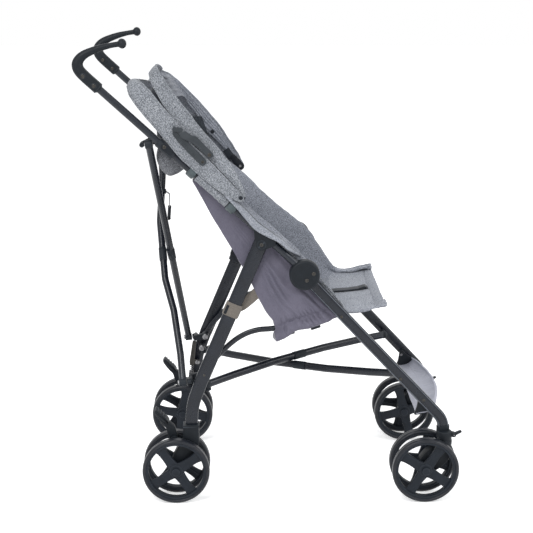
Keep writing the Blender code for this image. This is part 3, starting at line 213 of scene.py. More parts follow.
def add_floor():
    """A plain pale floor that keeps the shadow and is near white to the camera."""
    work = bmesh.new()
    bmesh.ops.create_grid(work, x_segments=8, y_segments=8, size=14.0)
    mesh = bpy.data.meshes.new("floor")
    work.to_mesh(mesh)
    work.free()
    floor = bpy.data.objects.new("floor", mesh)
    floor.location.z = -0.0005
    bpy.context.scene.collection.objects.link(floor)
    look = bpy.data.materials.new("floor_white")
    look.use_nodes = True
    tree = look.node_tree
    shader = tree.nodes["Principled BSDF"]
    shader.inputs["Base Color"].default_value = (0.93, 0.93, 0.93, 1)
    shader.inputs["Roughness"].default_value = 0.9
    glow = light_giver(tree, "ShaderNodeEmission", (1, 1, 1, 1), 0.48)
    both = tree.nodes.new("ShaderNodeAddShader")
    tree.links.new(shader.outputs[0], both.inputs[0])
    tree.links.new(glow, both.inputs[1])
    split_rays(tree, shader.outputs[0], both.outputs[0], tree.nodes["Material Output"])
    mesh.materials.append(look)


# Materials. Every one is made of nodes that read the piece's own coordinates in metres.

def linear(value):
    value /= 255
    return value / 12.92 if value <= 0.04045 else ((value + 0.055) / 1.055) ** 2.4


def tint(r, g, b):
    return (linear(r), linear(g), linear(b), 1.0)


class Look:
    """A material in the making, with short ways to add its nodes."""

    def __init__(self, name):
        self.made = bpy.data.materials.new(name)
        self.made.use_nodes = True
        self.tree = self.made.node_tree
        self.shader = self.tree.nodes["Principled BSDF"]
        self.place = self.node("TexCoord").outputs["Object"]

    def feed(self, socket, value):
        if isinstance(value, bpy.types.NodeSocket):
            self.tree.links.new(value, socket)
        else:
            socket.default_value = value

    def node(self, kind, **inputs):
        step = self.tree.nodes.new("ShaderNode" + kind)
        for name, value in inputs.items():
            self.feed(step.inputs[name.replace("_", " ")], value)
        return step

    def set(self, **values):
        for name, value in values.items():
            self.feed(self.shader.inputs[name.replace("_", " ")], value)

    def stretched(self, scale, turn=(0, 0, 0)):
        return self.node("Mapping", Vector=self.place, Scale=scale, Rotation=turn).outputs[0]

    def noise(self, scale, detail=4.0, rough=0.6, vector=None):
        return self.node("TexNoise", Vector=vector or self.place, Scale=scale, Detail=detail,
                         Roughness=rough).outputs["Fac"]

    def cells(self, scale):
        return self.node("TexVoronoi", Vector=self.place, Scale=scale).outputs["Distance"]

    def wave(self, scale, distortion, vector=None, direction="X"):
        step = self.node("TexWave", Vector=vector or self.place, Scale=scale,
                         Distortion=distortion)
        step.bands_direction = direction
        return step.outputs["Fac"]

    def math(self, kind, a, b):
        step = self.node("Math")
        step.operation = kind
        self.feed(step.inputs[0], a)
        self.feed(step.inputs[1], b)
        return step.outputs[0]

    def average(self, a, b):
        return self.math("MULTIPLY", self.math("ADD", a, b), 0.5)

    def ramp(self, fac, stops):
        step = self.node("ValToRGB")
        points = step.color_ramp.elements
        while len(points) < len(stops):
            points.new(0.5)
        for point, (where, colour) in zip(points, stops):
            point.position = where
            point.color = colour
        self.feed(step.inputs[0], fac)
        return step.outputs[0]

    def span(self, fac, low, high, to_low, to_high):
        return self.node("MapRange", Value=fac, From_Min=low, From_Max=high, To_Min=to_low,
                         To_Max=to_high).outputs[0]

    def mix(self, fac, a, b):
        step = self.node("Mix")
        step.data_type = "RGBA"
        for k, value in ((0, fac), (6, a), (7, b)):
            self.feed(step.inputs[k], value)
        return step.outputs[2]

    def worn_edges(self):
        return self.span(self.node("NewGeometry").outputs["Pointiness"], 0.53, 0.60, 0.0, 1.0)

    def bump(self, height, strength, distance, before=None):
        step = self.node("Bump", Strength=strength, Distance=distance, Height=height)
        if before is not None:
            self.feed(step.inputs["Normal"], before)
        self.set(Normal=step.outputs[0])
        return step.outputs[0]


def make_powder_coat():
    look = Look("powder_coat")
    base = look.ramp(look.noise(28, 3), [(0.3, tint(18, 22, 30)), (0.7, tint(25, 30, 39))])
    wear = look.math("MULTIPLY", look.worn_edges(), look.noise(160, 5, 0.7))
    look.set(Base_Color=look.mix(wear, base, tint(70, 77, 86)),
             Roughness=look.span(look.noise(60, 4), 0.3, 0.7, 0.23, 0.31),
             Metallic=0.1, Specular_IOR_Level=0.36, Coat_Weight=0.05, Coat_Roughness=0.2)
    peel = look.bump(look.noise(900, 3, 0.55), 0.16, 0.0006)
    look.bump(look.cells(2600), 0.05, 0.0003, peel)
    return look.made


def make_plastic(name, low, high, rough_low, rough_high, grain):
    look = Look(name)
    base = look.ramp(look.noise(40, 4), [(0.3, low), (0.72, high)])
    scuff = look.span(look.noise(220, 6, 0.75, look.stretched((1, 3, 1))), 0.60, 0.74, 0.0, 0.35)
    rub = look.math("MAXIMUM", look.math("MULTIPLY", look.worn_edges(), 0.55), scuff)
    look.set(Base_Color=look.mix(rub, base, tint(72, 78, 86)),
             Roughness=look.span(look.noise(90, 4), 0.3, 0.7, rough_low, rough_high),
             Specular_IOR_Level=0.22)
    first = look.bump(look.noise(grain, 3, 0.6), 0.22, 0.0005)
    look.bump(look.cells(grain * 1.9), 0.10, 0.0002, first)
    return look.made


def make_steel(name, low, high):
    look = Look(name)
    brush = look.noise(700, 5, 0.7, look.stretched((1, 1, 0.15)))
    look.set(Base_Color=look.ramp(brush, [(0.25, low), (0.75, high)]),
             Roughness=look.span(brush, 0.3, 0.7, 0.24, 0.42), Metallic=1.0)
    look.bump(brush, 0.10, 0.0002)
    return look.made


def make_foam():
    look = Look("wheel_foam")
    base = look.ramp(look.noise(55, 5, 0.65), [(0.3, tint(25, 28, 34)), (0.7, tint(35, 38, 45))])
    dust = look.span(look.noise(24, 6, 0.75), 0.52, 0.75, 0.0, 0.35)
    look.set(Base_Color=look.mix(dust, base, tint(70, 72, 76)),
             Roughness=look.span(look.noise(120, 4), 0.3, 0.7, 0.28, 0.40),
             Specular_IOR_Level=0.30)
    pores = look.bump(look.cells(1500), 0.16, 0.0004)
    look.bump(look.noise(420, 4, 0.6), 0.12, 0.0006, pores)
    return look.made


def yarn_height(look, pitch):
    """Two crossed sets of ribs, taken along all three ways so that any face has a weave."""
    x_rib, y_rib, z_rib = (look.wave(pitch, 0.6, direction=way) for way in "XYZ")
    return look.math("ADD", look.math("MAXIMUM", x_rib, z_rib), look.math("MULTIPLY", y_rib, 0.8))


def make_heather(name, dark, mid, pale, sheen=0.2, streak=0.8):
    look = Look(name)
    fleck = look.noise(430, 3, 0.75, look.stretched((1.0, 1.0, 2.1), (0.3, 0.5, 0.2)))
    other = look.noise(380, 3, 0.75, look.stretched((2.2, 1.6, 0.8), (0.1, 0.9, 0.6)))
    melange = look.average(fleck, other)
    base = look.ramp(melange, [(0.405, dark), (0.485, mid), (0.575, pale)])
    slub = look.span(look.noise(150, 4, 0.7, look.stretched((0.5, 0.5, 3.0), (0, 0.75, 0))),
                     0.55, 0.72, 0.0, 0.35 * streak)
    slubbed = look.mix(slub, base, pale)
    shade = look.span(look.noise(9, 4, 0.55), 0.35, 0.65, 0.0, 0.22)
    look.set(Base_Color=look.mix(shade, slubbed, dark),
             Roughness=look.span(melange, 0.4, 0.6, 0.97, 0.85), Sheen_Weight=sheen,
             Sheen_Roughness=0.45, Specular_IOR_Level=0.2)
    weave = look.bump(yarn_height(look, 260), 0.35, 0.0005)
    look.bump(melange, 0.45, 0.0009, weave)
    return look.made


def make_lining():
    look = Look("lining_cloth")
    cloud = look.noise(14, 5, 0.6)
    base = look.ramp(cloud, [(0.3, tint(88, 86, 101)), (0.7, tint(105, 102, 117))])
    thread = look.span(look.noise(900, 2, 0.6, look.stretched((1, 1, 0.25))), 0.35, 0.7, 0.0, 0.35)
    look.set(Base_Color=look.mix(thread, base, tint(122, 119, 133)),
             Roughness=look.span(cloud, 0.3, 0.7, 0.62, 0.74), Sheen_Weight=0.3,
             Sheen_Roughness=0.4, Specular_IOR_Level=0.3)
    weave = look.bump(yarn_height(look, 420), 0.25, 0.0003)
    look.bump(look.noise(70, 5, 0.6, look.stretched((1.6, 1, 0.5))), 0.35, 0.0018, weave)
    return look.made


def make_footrest_cloth():
    look = Look("footrest_cloth")
    cloud = look.noise(20, 5, 0.6)
    base = look.ramp(cloud, [(0.3, tint(156, 158, 171)), (0.7, tint(180, 182, 194))])
    specks = look.span(look.cells(900), 0.0, 0.6, 0.3, 0.0)
    look.set(Base_Color=look.mix(specks, base, tint(138, 140, 154)),
             Roughness=look.span(cloud, 0.3, 0.7, 0.50, 0.64), Sheen_Weight=0.15,
             Specular_IOR_Level=0.4)
    weave = look.bump(yarn_height(look, 300), 0.3, 0.0004)
    look.bump(look.noise(60, 5, 0.65), 0.25, 0.0016, weave)
    return look.made


def make_webbing(name, low, high):
    look = Look(name)
    ribs = look.wave(340, 0.8, look.stretched((1, 1, 1), (0, 0.84, 0)))
    cross = look.wave(442, 0.8, look.stretched((1, 1, 1), (0, -0.73, 0)))
    plait = look.average(ribs, cross)
    fuzz = look.noise(600, 4, 0.7)
    look.set(Base_Color=look.ramp(look.average(plait, fuzz), [(0.3, low), (0.7, high)]),
             Roughness=look.span(fuzz, 0.3, 0.7, 0.75, 0.92), Sheen_Weight=0.2,
             Specular_IOR_Level=0.25)
    look.bump(plait, 0.6, 0.0006)
    return look.made


def make_thread():
    look = Look("sewing_thread")
    twist = look.wave(900, 1.0, look.stretched((1, 1, 1), (0.5, 0.6, 0)))
    look.set(Base_Color=look.ramp(twist, [(0.2, tint(112, 114, 120)), (0.8, tint(158, 160, 166))]),
             Roughness=look.span(twist, 0.0, 1.0, 0.6, 0.8))
    look.bump(twist, 0.5, 0.0003)
    return look.made


COAT = make_powder_coat()
PLASTIC = make_plastic("black_plastic", tint(17, 22, 27), tint(24, 29, 35), 0.46, 0.60, 1400)
WHEEL_PLASTIC = make_plastic("wheel_plastic", tint(22, 27, 34), tint(30, 36, 44), 0.46, 0.60, 1200)
GLOSS = make_plastic("gloss_plastic", tint(24, 27, 32), tint(32, 35, 41), 0.25, 0.36, 900)
ARM_GREY = make_plastic("arm_plastic", tint(48, 52, 56), tint(64, 68, 72), 0.30, 0.42, 1300)
CLIP_GREY = make_plastic("grey_plastic", tint(62, 71, 74), tint(84, 93, 96), 0.24, 0.36, 1500)
# a paler copy of the frame's paint for the legs' edge beads: a painted highlight
HIGHLIGHT_BEAD = make_plastic("coat_edge_highlight", tint(92, 98, 108), tint(112, 118, 128), 0.3, 0.4, 1400)
STEEL = make_steel("bare_steel", tint(104, 104, 106), tint(150, 150, 152))
RIVET = make_steel("dark_rivet", tint(46, 45, 44), tint(88, 86, 83))
FOAM = make_foam()
HEATHER = make_heather("heather_cloth", tint(66, 70, 76), tint(116, 120, 127),
                       tint(184, 187, 192), 0.25, 1.0)
# a darker copy of the heather for the insides of the seat and hood: painted shade
HEATHER_SHADED = make_heather("heather_inner_shaded", tint(76, 80, 88), tint(120, 124, 133),
                            tint(168, 171, 180))
# a paler copy of the heather for the seat's flap and its sides' outer faces: painted light
HEATHER_LIT = make_heather("heather_flap_lit", tint(90, 94, 102), tint(139, 143, 152),
                            tint(184, 187, 195))
HEATHER_GREY = make_heather("heather_pouch", tint(58, 60, 64), tint(100, 102, 107),
                            tint(146, 148, 153))
SEAM = make_heather("heather_seam", tint(52, 55, 60), tint(74, 77, 83), tint(100, 103, 109),
                    0.25, 1.0)
# a near-black copy of the heather: painted shade inside the hood
SHADE_CHARCOAL = make_heather("charcoal_shade_cloth", tint(34, 38, 44), tint(48, 52, 58), tint(70, 74, 80),
                        0.25, 1.0)
LINING = make_lining()
FOOT_CLOTH = make_footrest_cloth()
WEBBING = make_webbing("strap_webbing", tint(98, 92, 86), tint(136, 129, 121))
BLACK_WEB = make_webbing("black_webbing", tint(28, 31, 36), tint(56, 60, 67))
THREAD = make_thread()


# Building pieces.

# A lathe's closed ends keep a tiny ring at their middle.
CORE_R = 4e-4


class Form:
    """One piece's mesh in the making, with a material for each of its parts."""

    def __init__(self, name):
        self.name = name
        self.work = bmesh.new()
        self.looks = []

    def index(self, look):
        if look not in self.looks:
            self.looks.append(look)
        return self.looks.index(look)

    def finish_faces(self, faces):
        for face in faces:
            face.smooth = True
        bmesh.ops.recalc_face_normals(self.work, faces=faces)

    def skin(self, rings, look, loop=False):
        """Joins rings of places in order. A skin that isn't a loop gets a cap at each end."""
        made = [[self.work.verts.new(p) for p in ring] for ring in rings]
        count = len(made[0])
        pairs = list(zip(made, made[1:] + made[:1] if loop else made[1:]))
        faces = []
        for low, high in pairs:
            for i in range(count):
                j = (i + 1) % count
                faces.append(self.work.faces.new((low[i], low[j], high[j], high[i])))
        if not loop:
            faces.append(self.work.faces.new(list(reversed(made[0]))))
            faces.append(self.work.faces.new(made[-1]))
        slot = self.index(look)
        for face in faces:
            face.material_index = slot
        self.finish_faces(faces)

    def done(self, body, nodes, crease=34):
        """The finished piece on its body. Edges sharper than crease degrees stay sharp."""
        limit = math.radians(crease)
        for edge in self.work.edges:
            if len(edge.link_faces) == 2:
                edge.smooth = edge.calc_face_angle(0.0) < limit
        mesh = bpy.data.meshes.new(self.name)
        self.work.to_mesh(mesh)
        self.work.free()
        for look in self.looks:
            mesh.materials.append(look)
        item = bpy.data.objects.new(self.name, mesh)
        bpy.context.scene.collection.objects.link(item)
        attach(item, body)
        if nodes:
            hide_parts(*nodes)
        return item


def each_side(node, body, name=None):
    """For a function that shapes one side's piece, which is named like its node or by name."""
    def wrap(shape):
        def make(hand):
            word = WORDS[hand]
            form = Form(f"{word}_{name or node}_fine")
            shape(form, hand)
            form.done(f"{word}_{body}", [f"{word}_{node}"])
        return make
    return wrap


def flat_way(start, end):
    """The direction from one place to another in the side view."""
    return Vector((end[0] - start[0], end[1] - start[1])).normalized()


def normal_to(start, end):
    run = flat_way(start, end)
    return Vector((run.y, 0, -run.x))


def curve(start, corner, end, steps):
    """Places along a corner rounded from start to end."""
    shares = [i / steps for i in range(steps + 1)]
    return [(1 - t) ** 2 * start + 2 * t * (1 - t) * corner + t * t * end for t in shares]


def rounded_path(points, radius, steps):
    out = [points[0]]
    for before, corner, after in zip(points, points[1:], points[2:]):
        first, last = before - corner, after - corner
        turn = math.pi - first.normalized().angle(last.normalized())
        if turn < 0.01:
            out.append(corner)
            continue
        back = min(radius * math.tan(turn / 2), 0.45 * first.length, 0.45 * last.length)
        out += curve(corner + first.normalized() * back, corner, corner + last.normalized() * back,
                     steps)
    return out + [points[-1]]


def spaced(points, step):
    """The same line with points about step apart."""
    out = [points[0]]
    for a, b in zip(points, points[1:]):
        count = max(1, round((b - a).length / step))
        out += [a.lerp(b, i / count) for i in range(1, count + 1)]
    return out


def smooth_step(p0, p1, p2, p3, t):
    """A place on the smooth line from p1 to p2."""
    return 0.5 * ((2 * p1) + (p2 - p0) * t + (2 * p0 - 5 * p1 + 4 * p2 - p3) * t * t
                  + (3 * p1 - p0 - 3 * p2 + p3) * t ** 3)


def spline(points, each):
    """A smooth line through all the points, with each places to a stretch."""
    out = []
    last = len(points) - 1
    for i in range(last):
        four = (points[max(i - 1, 0)], points[i], points[i + 1], points[min(i + 2, last)])
        out += [smooth_step(*four, k / each) for k in range(each)]
    return out + [points[-1]]


def turns(around, start=0.0):
    return [2 * math.pi * (i + start) / around for i in range(around)]


def oval(centre, wide_way, thick_way, half_wide, half_thick, around, power, groove=0.0):
    """A ring that is squarer with a lower power, with a groove along each broad side."""
    ring = []
    for a in turns(around, 0.5):
        c, s = math.cos(a), math.sin(a)
        w = half_wide * math.copysign(abs(c) ** power, c)
        t = half_thick * math.copysign(abs(s) ** power, s)
        if groove and 0.44 < w / half_wide < 0.64:
            t -= math.copysign(groove, t)
        ring.append(centre + w * wide_way + t * thick_way)
    return ring


def at_share(value, share):
    return value(share) if callable(value) else value


def tube(form, path, half_wide, half_thick, look, around, flat_side=None, power=1.0,
         edge=0.0012, groove=0.0):
    """A sweep along path whose ends are rounded over. Both halves and power can be functions
    of the share of the path."""
    count = len(path)
    rings = []
    reference = flat_side
    for i, point in enumerate(path):
        along = (path[min(i + 1, count - 1)] - path[max(i - 1, 0)]).normalized()
        if flat_side is None:
            if reference is None:
                reference = along.orthogonal().normalized()
            reference = (reference - along * reference.dot(along)).normalized()
            wide = reference
        else:
            wide = flat_side.cross(along).normalized()
        thick = along.cross(wide).normalized()
        hw, ht, p = (at_share(v, i / (count - 1)) for v in (half_wide, half_thick, power))
        if i in (0, count - 1):
            inward = along if i == 0 else -along
            steps = ((1.0, 0.0), (0.45, 0.3), (0.12, 0.7))
            for inset, back in steps if i == 0 else reversed(steps):
                rings.append(oval(point + inward * edge * back, wide, thick, hw - edge * inset,
                                  ht - edge * inset, around, p))
        else:
            rings.append(oval(point, wide, thick, hw, ht, around, p, groove))
    form.skin(rings, look)


def lathe(form, origin, axis, profile, look, around):
    """profile is (radius, distance along the axis) from one closed end to the other."""
    axis = axis.normalized()
    across = Vector((1, 0, 0)) if abs(axis.y) > 0.99 else axis.orthogonal().normalized()
    over = axis.cross(across)
    ways = [math.cos(a) * across + math.sin(a) * over for a in turns(around, 0.5)]
    form.skin([[origin + axis * t + max(r, CORE_R) * way for way in ways] for r, t in profile],
              look)


def ring_lathe(form, origin, profile, look):
    """profile is a closed loop of (radius, distance), which makes a ring with a hole."""
    rings = []
    for a in turns(96):
        out = Vector((math.cos(a), 0, -math.sin(a)))
        rings.append([origin + Y_WAY * t + r * out for r, t in profile])
    form.skin(rings, look, loop=True)


def cylinder(form, start, end, radius, look, edge=0.0006, around=32):
    long = (end - start).length
    b = min(edge, long * 0.4, radius * 0.4)
    profile = [(radius - b, 0), (radius - 0.3 * b, 0.3 * b), (radius, b), (radius, long - b),
               (radius - 0.3 * b, long - 0.3 * b), (radius - b, long)]
    lathe(form, start, end - start, profile, look, around)


def y_cylinder(form, point, y_from, y_to, radius, look, edge=0.0006):
    cylinder(form, side(point, y_from), side(point, y_to), radius, look, edge)


def belt(form, centre, half_run, radius, edge):
    """A short collar round a tube, reaching half_run to both sides of centre."""
    cylinder(form, centre - half_run, centre + half_run, radius, PLASTIC, edge, 40)


def disc_outline(point, radius, around=32):
    return [(point[0] + radius * math.cos(a), point[1] + radius * math.sin(a))
            for a in turns(around)]


def hull_outline(points):
    points = sorted(set(points))

    def half(line):
        chain = []
        for p in line:
            while len(chain) > 1:
                a, b = chain[-2], chain[-1]
                if (b[0] - a[0]) * (p[1] - a[1]) - (b[1] - a[1]) * (p[0] - a[0]) > 0:
                    break
                chain.pop()
            chain.append(p)
        return chain[:-1]

    return half(points) + half(list(reversed(points)))


def soften(outline, radius, steps=5):
    """The outline with its corners rounded."""
    flat = [Vector((p[0], p[1])) for p in outline]
    out = []
    for i, corner in enumerate(flat):
        first, last = flat[i - 1] - corner, flat[(i + 1) % len(flat)] - corner
        back = min(radius, 0.42 * first.length, 0.42 * last.length)
        out += curve(corner + first.normalized() * back, corner, corner + last.normalized() * back,
                     steps)
    return [(p.x, p.y) for p in out]


def inset_outline(outline, depth):
    count = len(outline)
    area = sum(outline[i][0] * outline[(i + 1) % count][1]
               - outline[(i + 1) % count][0] * outline[i][1] for i in range(count))
    way = 1 if area > 0 else -1
    out = []
    for i in range(count):
        run = (Vector(outline[(i + 1) % count]) - Vector(outline[i - 1])).normalized()
        out.append((outline[i][0] - way * run.y * depth, outline[i][1] + way * run.x * depth))
    return out


def slab(form, outline, y_from, y_to, look, edge=0.0010, steps=3):
    """A plate in the side view with rounded edges."""
    low, high = min(y_from, y_to), max(y_from, y_to)
    edge = min(edge, 0.35 * (high - low))
    angles = [math.pi / 2 * k / steps for k in range(steps + 1)]
    rings = []
    for level, way, order in ((low, 1, angles), (high, -1, angles[::-1])):
        for a in order:
            y = level + way * edge * (1 - math.cos(a))
            rings.append([side(p, y) for p in inset_outline(outline, edge * (1 - math.sin(a)))])
    form.skin(rings, look)


def strap(form, ends, y_from, y_to, look, edge, steps=3):
    """A plate drawn tight round discs given as (point, radius)."""
    points = []
    for point, radius in ends:
        points += disc_outline(point, radius, 36)
    slab(form, hull_outline(points), y_from, y_to, look, edge, steps)


def rivet(form, origin, axis, look=None, r=RIVET_R, h=RIVET_T):
    """A tubular rivet's head: a dome with a dimple."""
    profile = [(r, -0.0006), (r, h * 0.25), (r * 0.93, h * 0.62), (r * 0.75, h * 0.92),
               (r * 0.58, h), (r * 0.42, h * 0.88), (r * 0.32, h * 0.45), (r * 0.2, h * 0.3),
               (0, h * 0.3)]
    lathe(form, origin, axis, profile, look or RIVET, 28)


def y_rivet(form, point, y, hand, r=RIVET_R, h=RIVET_T):
    rivet(form, side(point, hand * y), Y_WAY * hand, RIVET, r, h)


def pin(form, point, y_from, y_head, radius=0.004, head=0.0070):
    """A steel pin with a domed head at y_head."""
    thick = 0.0022
    way = 1 if y_head > y_from else -1
    y_cylinder(form, point, y_from, y_head + way * thick * 0.5, radius, STEEL)
    profile = [(head, 0), (head, thick * 0.4), (head * 0.85, thick * 0.8), (head * 0.5, thick),
               (0, thick)]
    lathe(form, side(point, y_head), Y_WAY * way, profile, STEEL, 28)


def ball(form, centre, radius, look, axis=Y_WAY, squash=1.0, around=28):
    profile = [(radius * math.sin(math.pi * k / 12), -radius * squash * math.cos(math.pi * k / 12))
               for k in range(13)]
    lathe(form, centre, axis, profile, look, around)


# The push tubes and what is fixed to them.

# The hook's radius, where the grip ends.
HOOK_R = 0.0056


def tube_axis_y(share):
    return TUBE_HUB_Y + (TUBE_END_Y - TUBE_HUB_Y) * share


def tube_place(share):
    return tuple(low + (top - low) * share for low, top in zip(TUBE_LOW, TUBE_TOP))


def tube_point(share, hand):
    return side(tube_place(share), hand * tube_axis_y(share))


def tube_share(x):
    return (x - TUBE_LOW[0]) / (TUBE_TOP[0] - TUBE_LOW[0])


def tube_run(hand):
    return (tube_point(1.0, hand) - tube_point(0.0, hand)).normalized()


@each_side("push_tube", "frame")
def make_push_tube(form, hand):
    start, end = tube_point(0.0, hand), tube_point(1.0, hand)
    path = [start, start.lerp(end, 0.5), end + tube_run(hand) * 0.030]
    tube(form, path, PUSH_R, PUSH_R, COAT, 40)


@each_side("grip", "frame")
def make_grip(form, hand):
    end, along = tube_point(1.0, hand), tube_run(hand)
    y = end.y
    lead = [end - along * 0.004, end + along * 0.014, end + along * 0.030]
    bend = [side(p, y) for p in ((-0.1855, 0.9590), (-0.1905, 0.9700), (-0.1885, 0.9805),
                                 (-0.1800, 0.9905), (-0.1660, 0.9985), (-0.1428, 1.0070),
                                 (-0.1222, 1.0121), (-0.1060, 1.0148), (-0.0985, 1.0160))]
    step = 0.0022
    path = spaced(spline(lead + bend, 8), step)
    total = len(path) - 1

    def thick(share):
        left = (1 - share) * total * step
        thinner = min(1.0, max(0.0, share - 0.40) / 0.42)
        flare = 0.0034 * math.exp(-((left - 0.006) / 0.0075) ** 2)
        return GRIP_R + (HOOK_R - GRIP_R) * thinner + flare

    # the sleeve is a flat-sided block, the hook is round
    tube(form, path, thick, thick, PLASTIC, 40, Y_WAY,
         lambda s: 0.62 + 0.38 * min(1.0, max(0.0, (s - 0.24) / 0.18)), 0.0034)
    # the knob at the hook's end
    run = path[-1] - path[-2]
    ball(form, path[-1] + run.normalized() * 0.0010, 0.0105, PLASTIC, run, 0.0092 / 0.0105, 36)
    collar = end - along * 0.0035
    cylinder(form, collar - along * 0.0012, collar + along * 0.0060, GRIP_R - 0.0024, PLASTIC)
    for place in ((-0.1790, 0.9500), (-0.1570, 0.9300)):
        ring = [(0.0060, -0.0010), (0.0060, 0.0001), (0.0052, 0.0005), (0.0, 0.0005)]
        lathe(form, side(place, y + hand * GRIP_R), Y_WAY * hand, ring, PLASTIC, 28)
        rivet(form, side(place, y + hand * (GRIP_R + 0.0003)), Y_WAY * hand)
        rivet(form, side(place, y - hand * GRIP_R), Y_WAY * -hand)


@each_side("hinge_hub", "frame")
def make_hub(form, hand):
    r = HUB_R
    profile = [(r - 0.0015, 0), (r - 0.0004, 0.0006), (r, 0.0018), (r, 0.0095),
               (r - 0.0005, 0.0100), (r - 0.0005, 0.0106), (r, 0.0111), (r, HUB_T - 0.0052),
               (r - 0.0006, HUB_T - 0.0034), (r - 0.0020, HUB_T - 0.0017),
               (r - 0.0042, HUB_T - 0.0006), (r - 0.0065, HUB_T - 0.0003),
               (r - 0.0078, HUB_T - 0.0007), (r - 0.0090, HUB_T - 0.0003),
               (r - 0.0110, HUB_T)]
    lathe(form, side(HUB_C, hand * FRAME_IN), Y_WAY * hand, profile, PLASTIC, 72)
    for place in (LEG_PIVOT, HUB_RIVET):
        y_rivet(form, place, FRAME_IN + HUB_T, hand)
    pin(form, LEG_PIVOT, hand * (FRAME_IN + 0.004), hand * (LEG_IN - 0.0003))


@each_side("leg_bracket", "frame")
def make_leg_bracket(form, hand):
    outer = FRAME_IN + 0.0205
    x, z = tube_place(tube_share(REAR_PIVOT[0] + 0.010))
    run = flat_way(TUBE_LOW, TUBE_TOP)
    ends = [(REAR_PIVOT, 0.0135)]
    for reach in (-0.014, 0.022):
        ends.append(((x + run.x * reach, z + run.y * reach), 0.0105))
    strap(form, ends, hand * FRAME_IN, hand * outer, PLASTIC, 0.0022, 4)
    boss = [(0.0100, -0.0010), (0.0100, 0.0002), (0.0094, 0.0008), (0.0060, 0.0009), (0, 0.0009)]
    lathe(form, side(REAR_PIVOT, hand * outer), Y_WAY * hand, boss, PLASTIC, 32)
    y_rivet(form, REAR_PIVOT, outer + 0.0004, hand)
    pin(form, REAR_PIVOT, hand * (FRAME_IN + 0.004), hand * (LEG_IN - 0.0003))


@each_side("brace_clamp", "frame")
def make_brace_clamp(form, hand):
    share = tube_share(BRACE_TOP_PIVOT[0])
    centre, along = tube_point(share, hand), tube_run(hand)
    cylinder(form, centre - along * 0.026, centre + along * 0.018, 0.0110, PLASTIC, 0.0014, 40)
    for reach in (-0.0225, 0.0145):
        belt(form, centre + along * reach, along * 0.0018, 0.0112, 0.0007)
    y = tube_axis_y(share)
    lower = (BRACE_TOP_PIVOT[0] + 0.012, BRACE_TOP_PIVOT[1] - 0.011)
    cheek = [(BRACE_TOP_PIVOT, 0.0085), (lower, 0.0075)]
    strap(form, cheek, hand * (y + 0.0040), hand * (y + 0.0112), PLASTIC, 0.0014)
    pin(form, BRACE_TOP_PIVOT, hand * (y - 0.009), hand * (KNUCKLE_ARM_Y - KNUCKLE_ARM_T - 0.0003))
    y_rivet(form, BRACE_TOP_PIVOT, y + 0.0112, hand)


# Legs and links.

def front_leg_path(hand):
    y = hand * LEG_Y
    run = flat_way(HUB_RIVET, LINK_FRONT)
    start = (HUB_RIVET[0] - run.x * 0.004, HUB_RIVET[1] - run.y * 0.004)
    foot_x = CASTER_X - 0.003
    points = [start, (0.5640, 0.2180), (foot_x, 0.1800), (foot_x, 0.1400)]
    return rounded_path([side(p, y) for p in points], 0.09, 12)


@each_side("front_leg", "front_leg")
def make_front_leg(form, hand):
    path = spaced(front_leg_path(hand), 0.02)
    tube(form, path, FRONT_LEG_W / 2, LEG_T / 2, COAT, 56, Y_WAY, 0.62, 0.0015, 0.0007)
    # a raised bead runs along both edges of the outer face, in a paler paint that is a painted
    # highlight line
    middle = spaced(front_leg_path(hand), 0.004)[4:-3]
    for lift in (-0.78, 0.80):
        bead = []
        for before, point, after in zip(middle, middle[1:], middle[2:]):
            across = Y_WAY.cross(after - before).normalized()
            bead.append(point - across * FRONT_LEG_W / 2 * lift
                        + Y_WAY * hand * (LEG_T / 2 - 0.0003))
        tube(form, bead, 0.0007, 0.0007, HIGHLIGHT_BEAD, 8, None, 1.0, 0.0002)
    half = LEG_T / 2 - 0.0002
    strap(form, [(LEG_PIVOT, 0.0105), (HUB_RIVET, 0.0120), ((0.3040, 0.4930), 0.0115)],
          hand * (LEG_Y - half), hand * (LEG_Y + half), COAT, 0.0015)
    for place in (LINK_FRONT, LOWER_FRONT, FOOT_PIVOT):
        y_rivet(form, place, LEG_Y + LEG_T / 2 - 0.0001, hand, 0.0036, 0.0013)
    stub_in = LOWER_END_Y + LOWER_BRACE_R + 0.0035
    y_cylinder(form, LOWER_FRONT, hand * (LEG_Y - 0.002), hand * stub_in, 0.0065, PLASTIC, 0.0010)
    y_cylinder(form, FOOT_PIVOT, hand * (LEG_Y - 0.002), hand * (LEG_IN - 0.0030), 0.0065,
               PLASTIC, 0.0008)


def rear_leg_path(hand):
    y = hand * LEG_Y
    up = flat_way(LINK_REAR, REAR_PIVOT)
    top = (REAR_PIVOT[0] + up.x * 0.014, REAR_PIVOT[1] + up.y * 0.014)
    points = [top, LINK_REAR, (0.0375, 0.2200), (0.0335, 0.1560)]
    return rounded_path([side(p, y) for p in points], 0.16, 12)


def rear_leg_half(share):
    return (REAR_LEG_W_TOP + (REAR_LEG_W_LOW - REAR_LEG_W_TOP) * share) / 2


@each_side("rear_leg", "rear_leg")
def make_rear_leg(form, hand):
    tube(form, spaced(rear_leg_path(hand), 0.02), rear_leg_half, LEG_T / 2, COAT, 56, Y_WAY,
         0.60, 0.0018)
    for place in (LINK_REAR, LOWER_REAR):
        pin(form, place, hand * (LEG_IN + 0.004), hand * (KNUCKLE_IN - 0.0003))
    y_cylinder(form, LINK_REAR, hand * (LEG_IN + 0.002), hand * (LINK_Y + LINK_T / 2 + 0.0003),
               0.0085, PLASTIC)
    y_cylinder(form, LOWER_REAR, hand * (LEG_IN + 0.002), hand * (KNUCKLE_OUT + 0.0003), 0.0060,
               PLASTIC)
    y_rivet(form, (0.0640, 0.2905), LEG_Y + LEG_T / 2 - 0.0002, hand, 0.0030, 0.0010)
    if hand == LEFT:
        pin(form, FOLD_LOCK_PIVOT, LEG_IN + 0.004, FOLD_LOCK_Y - 0.0003, 0.0030, 0.0055)


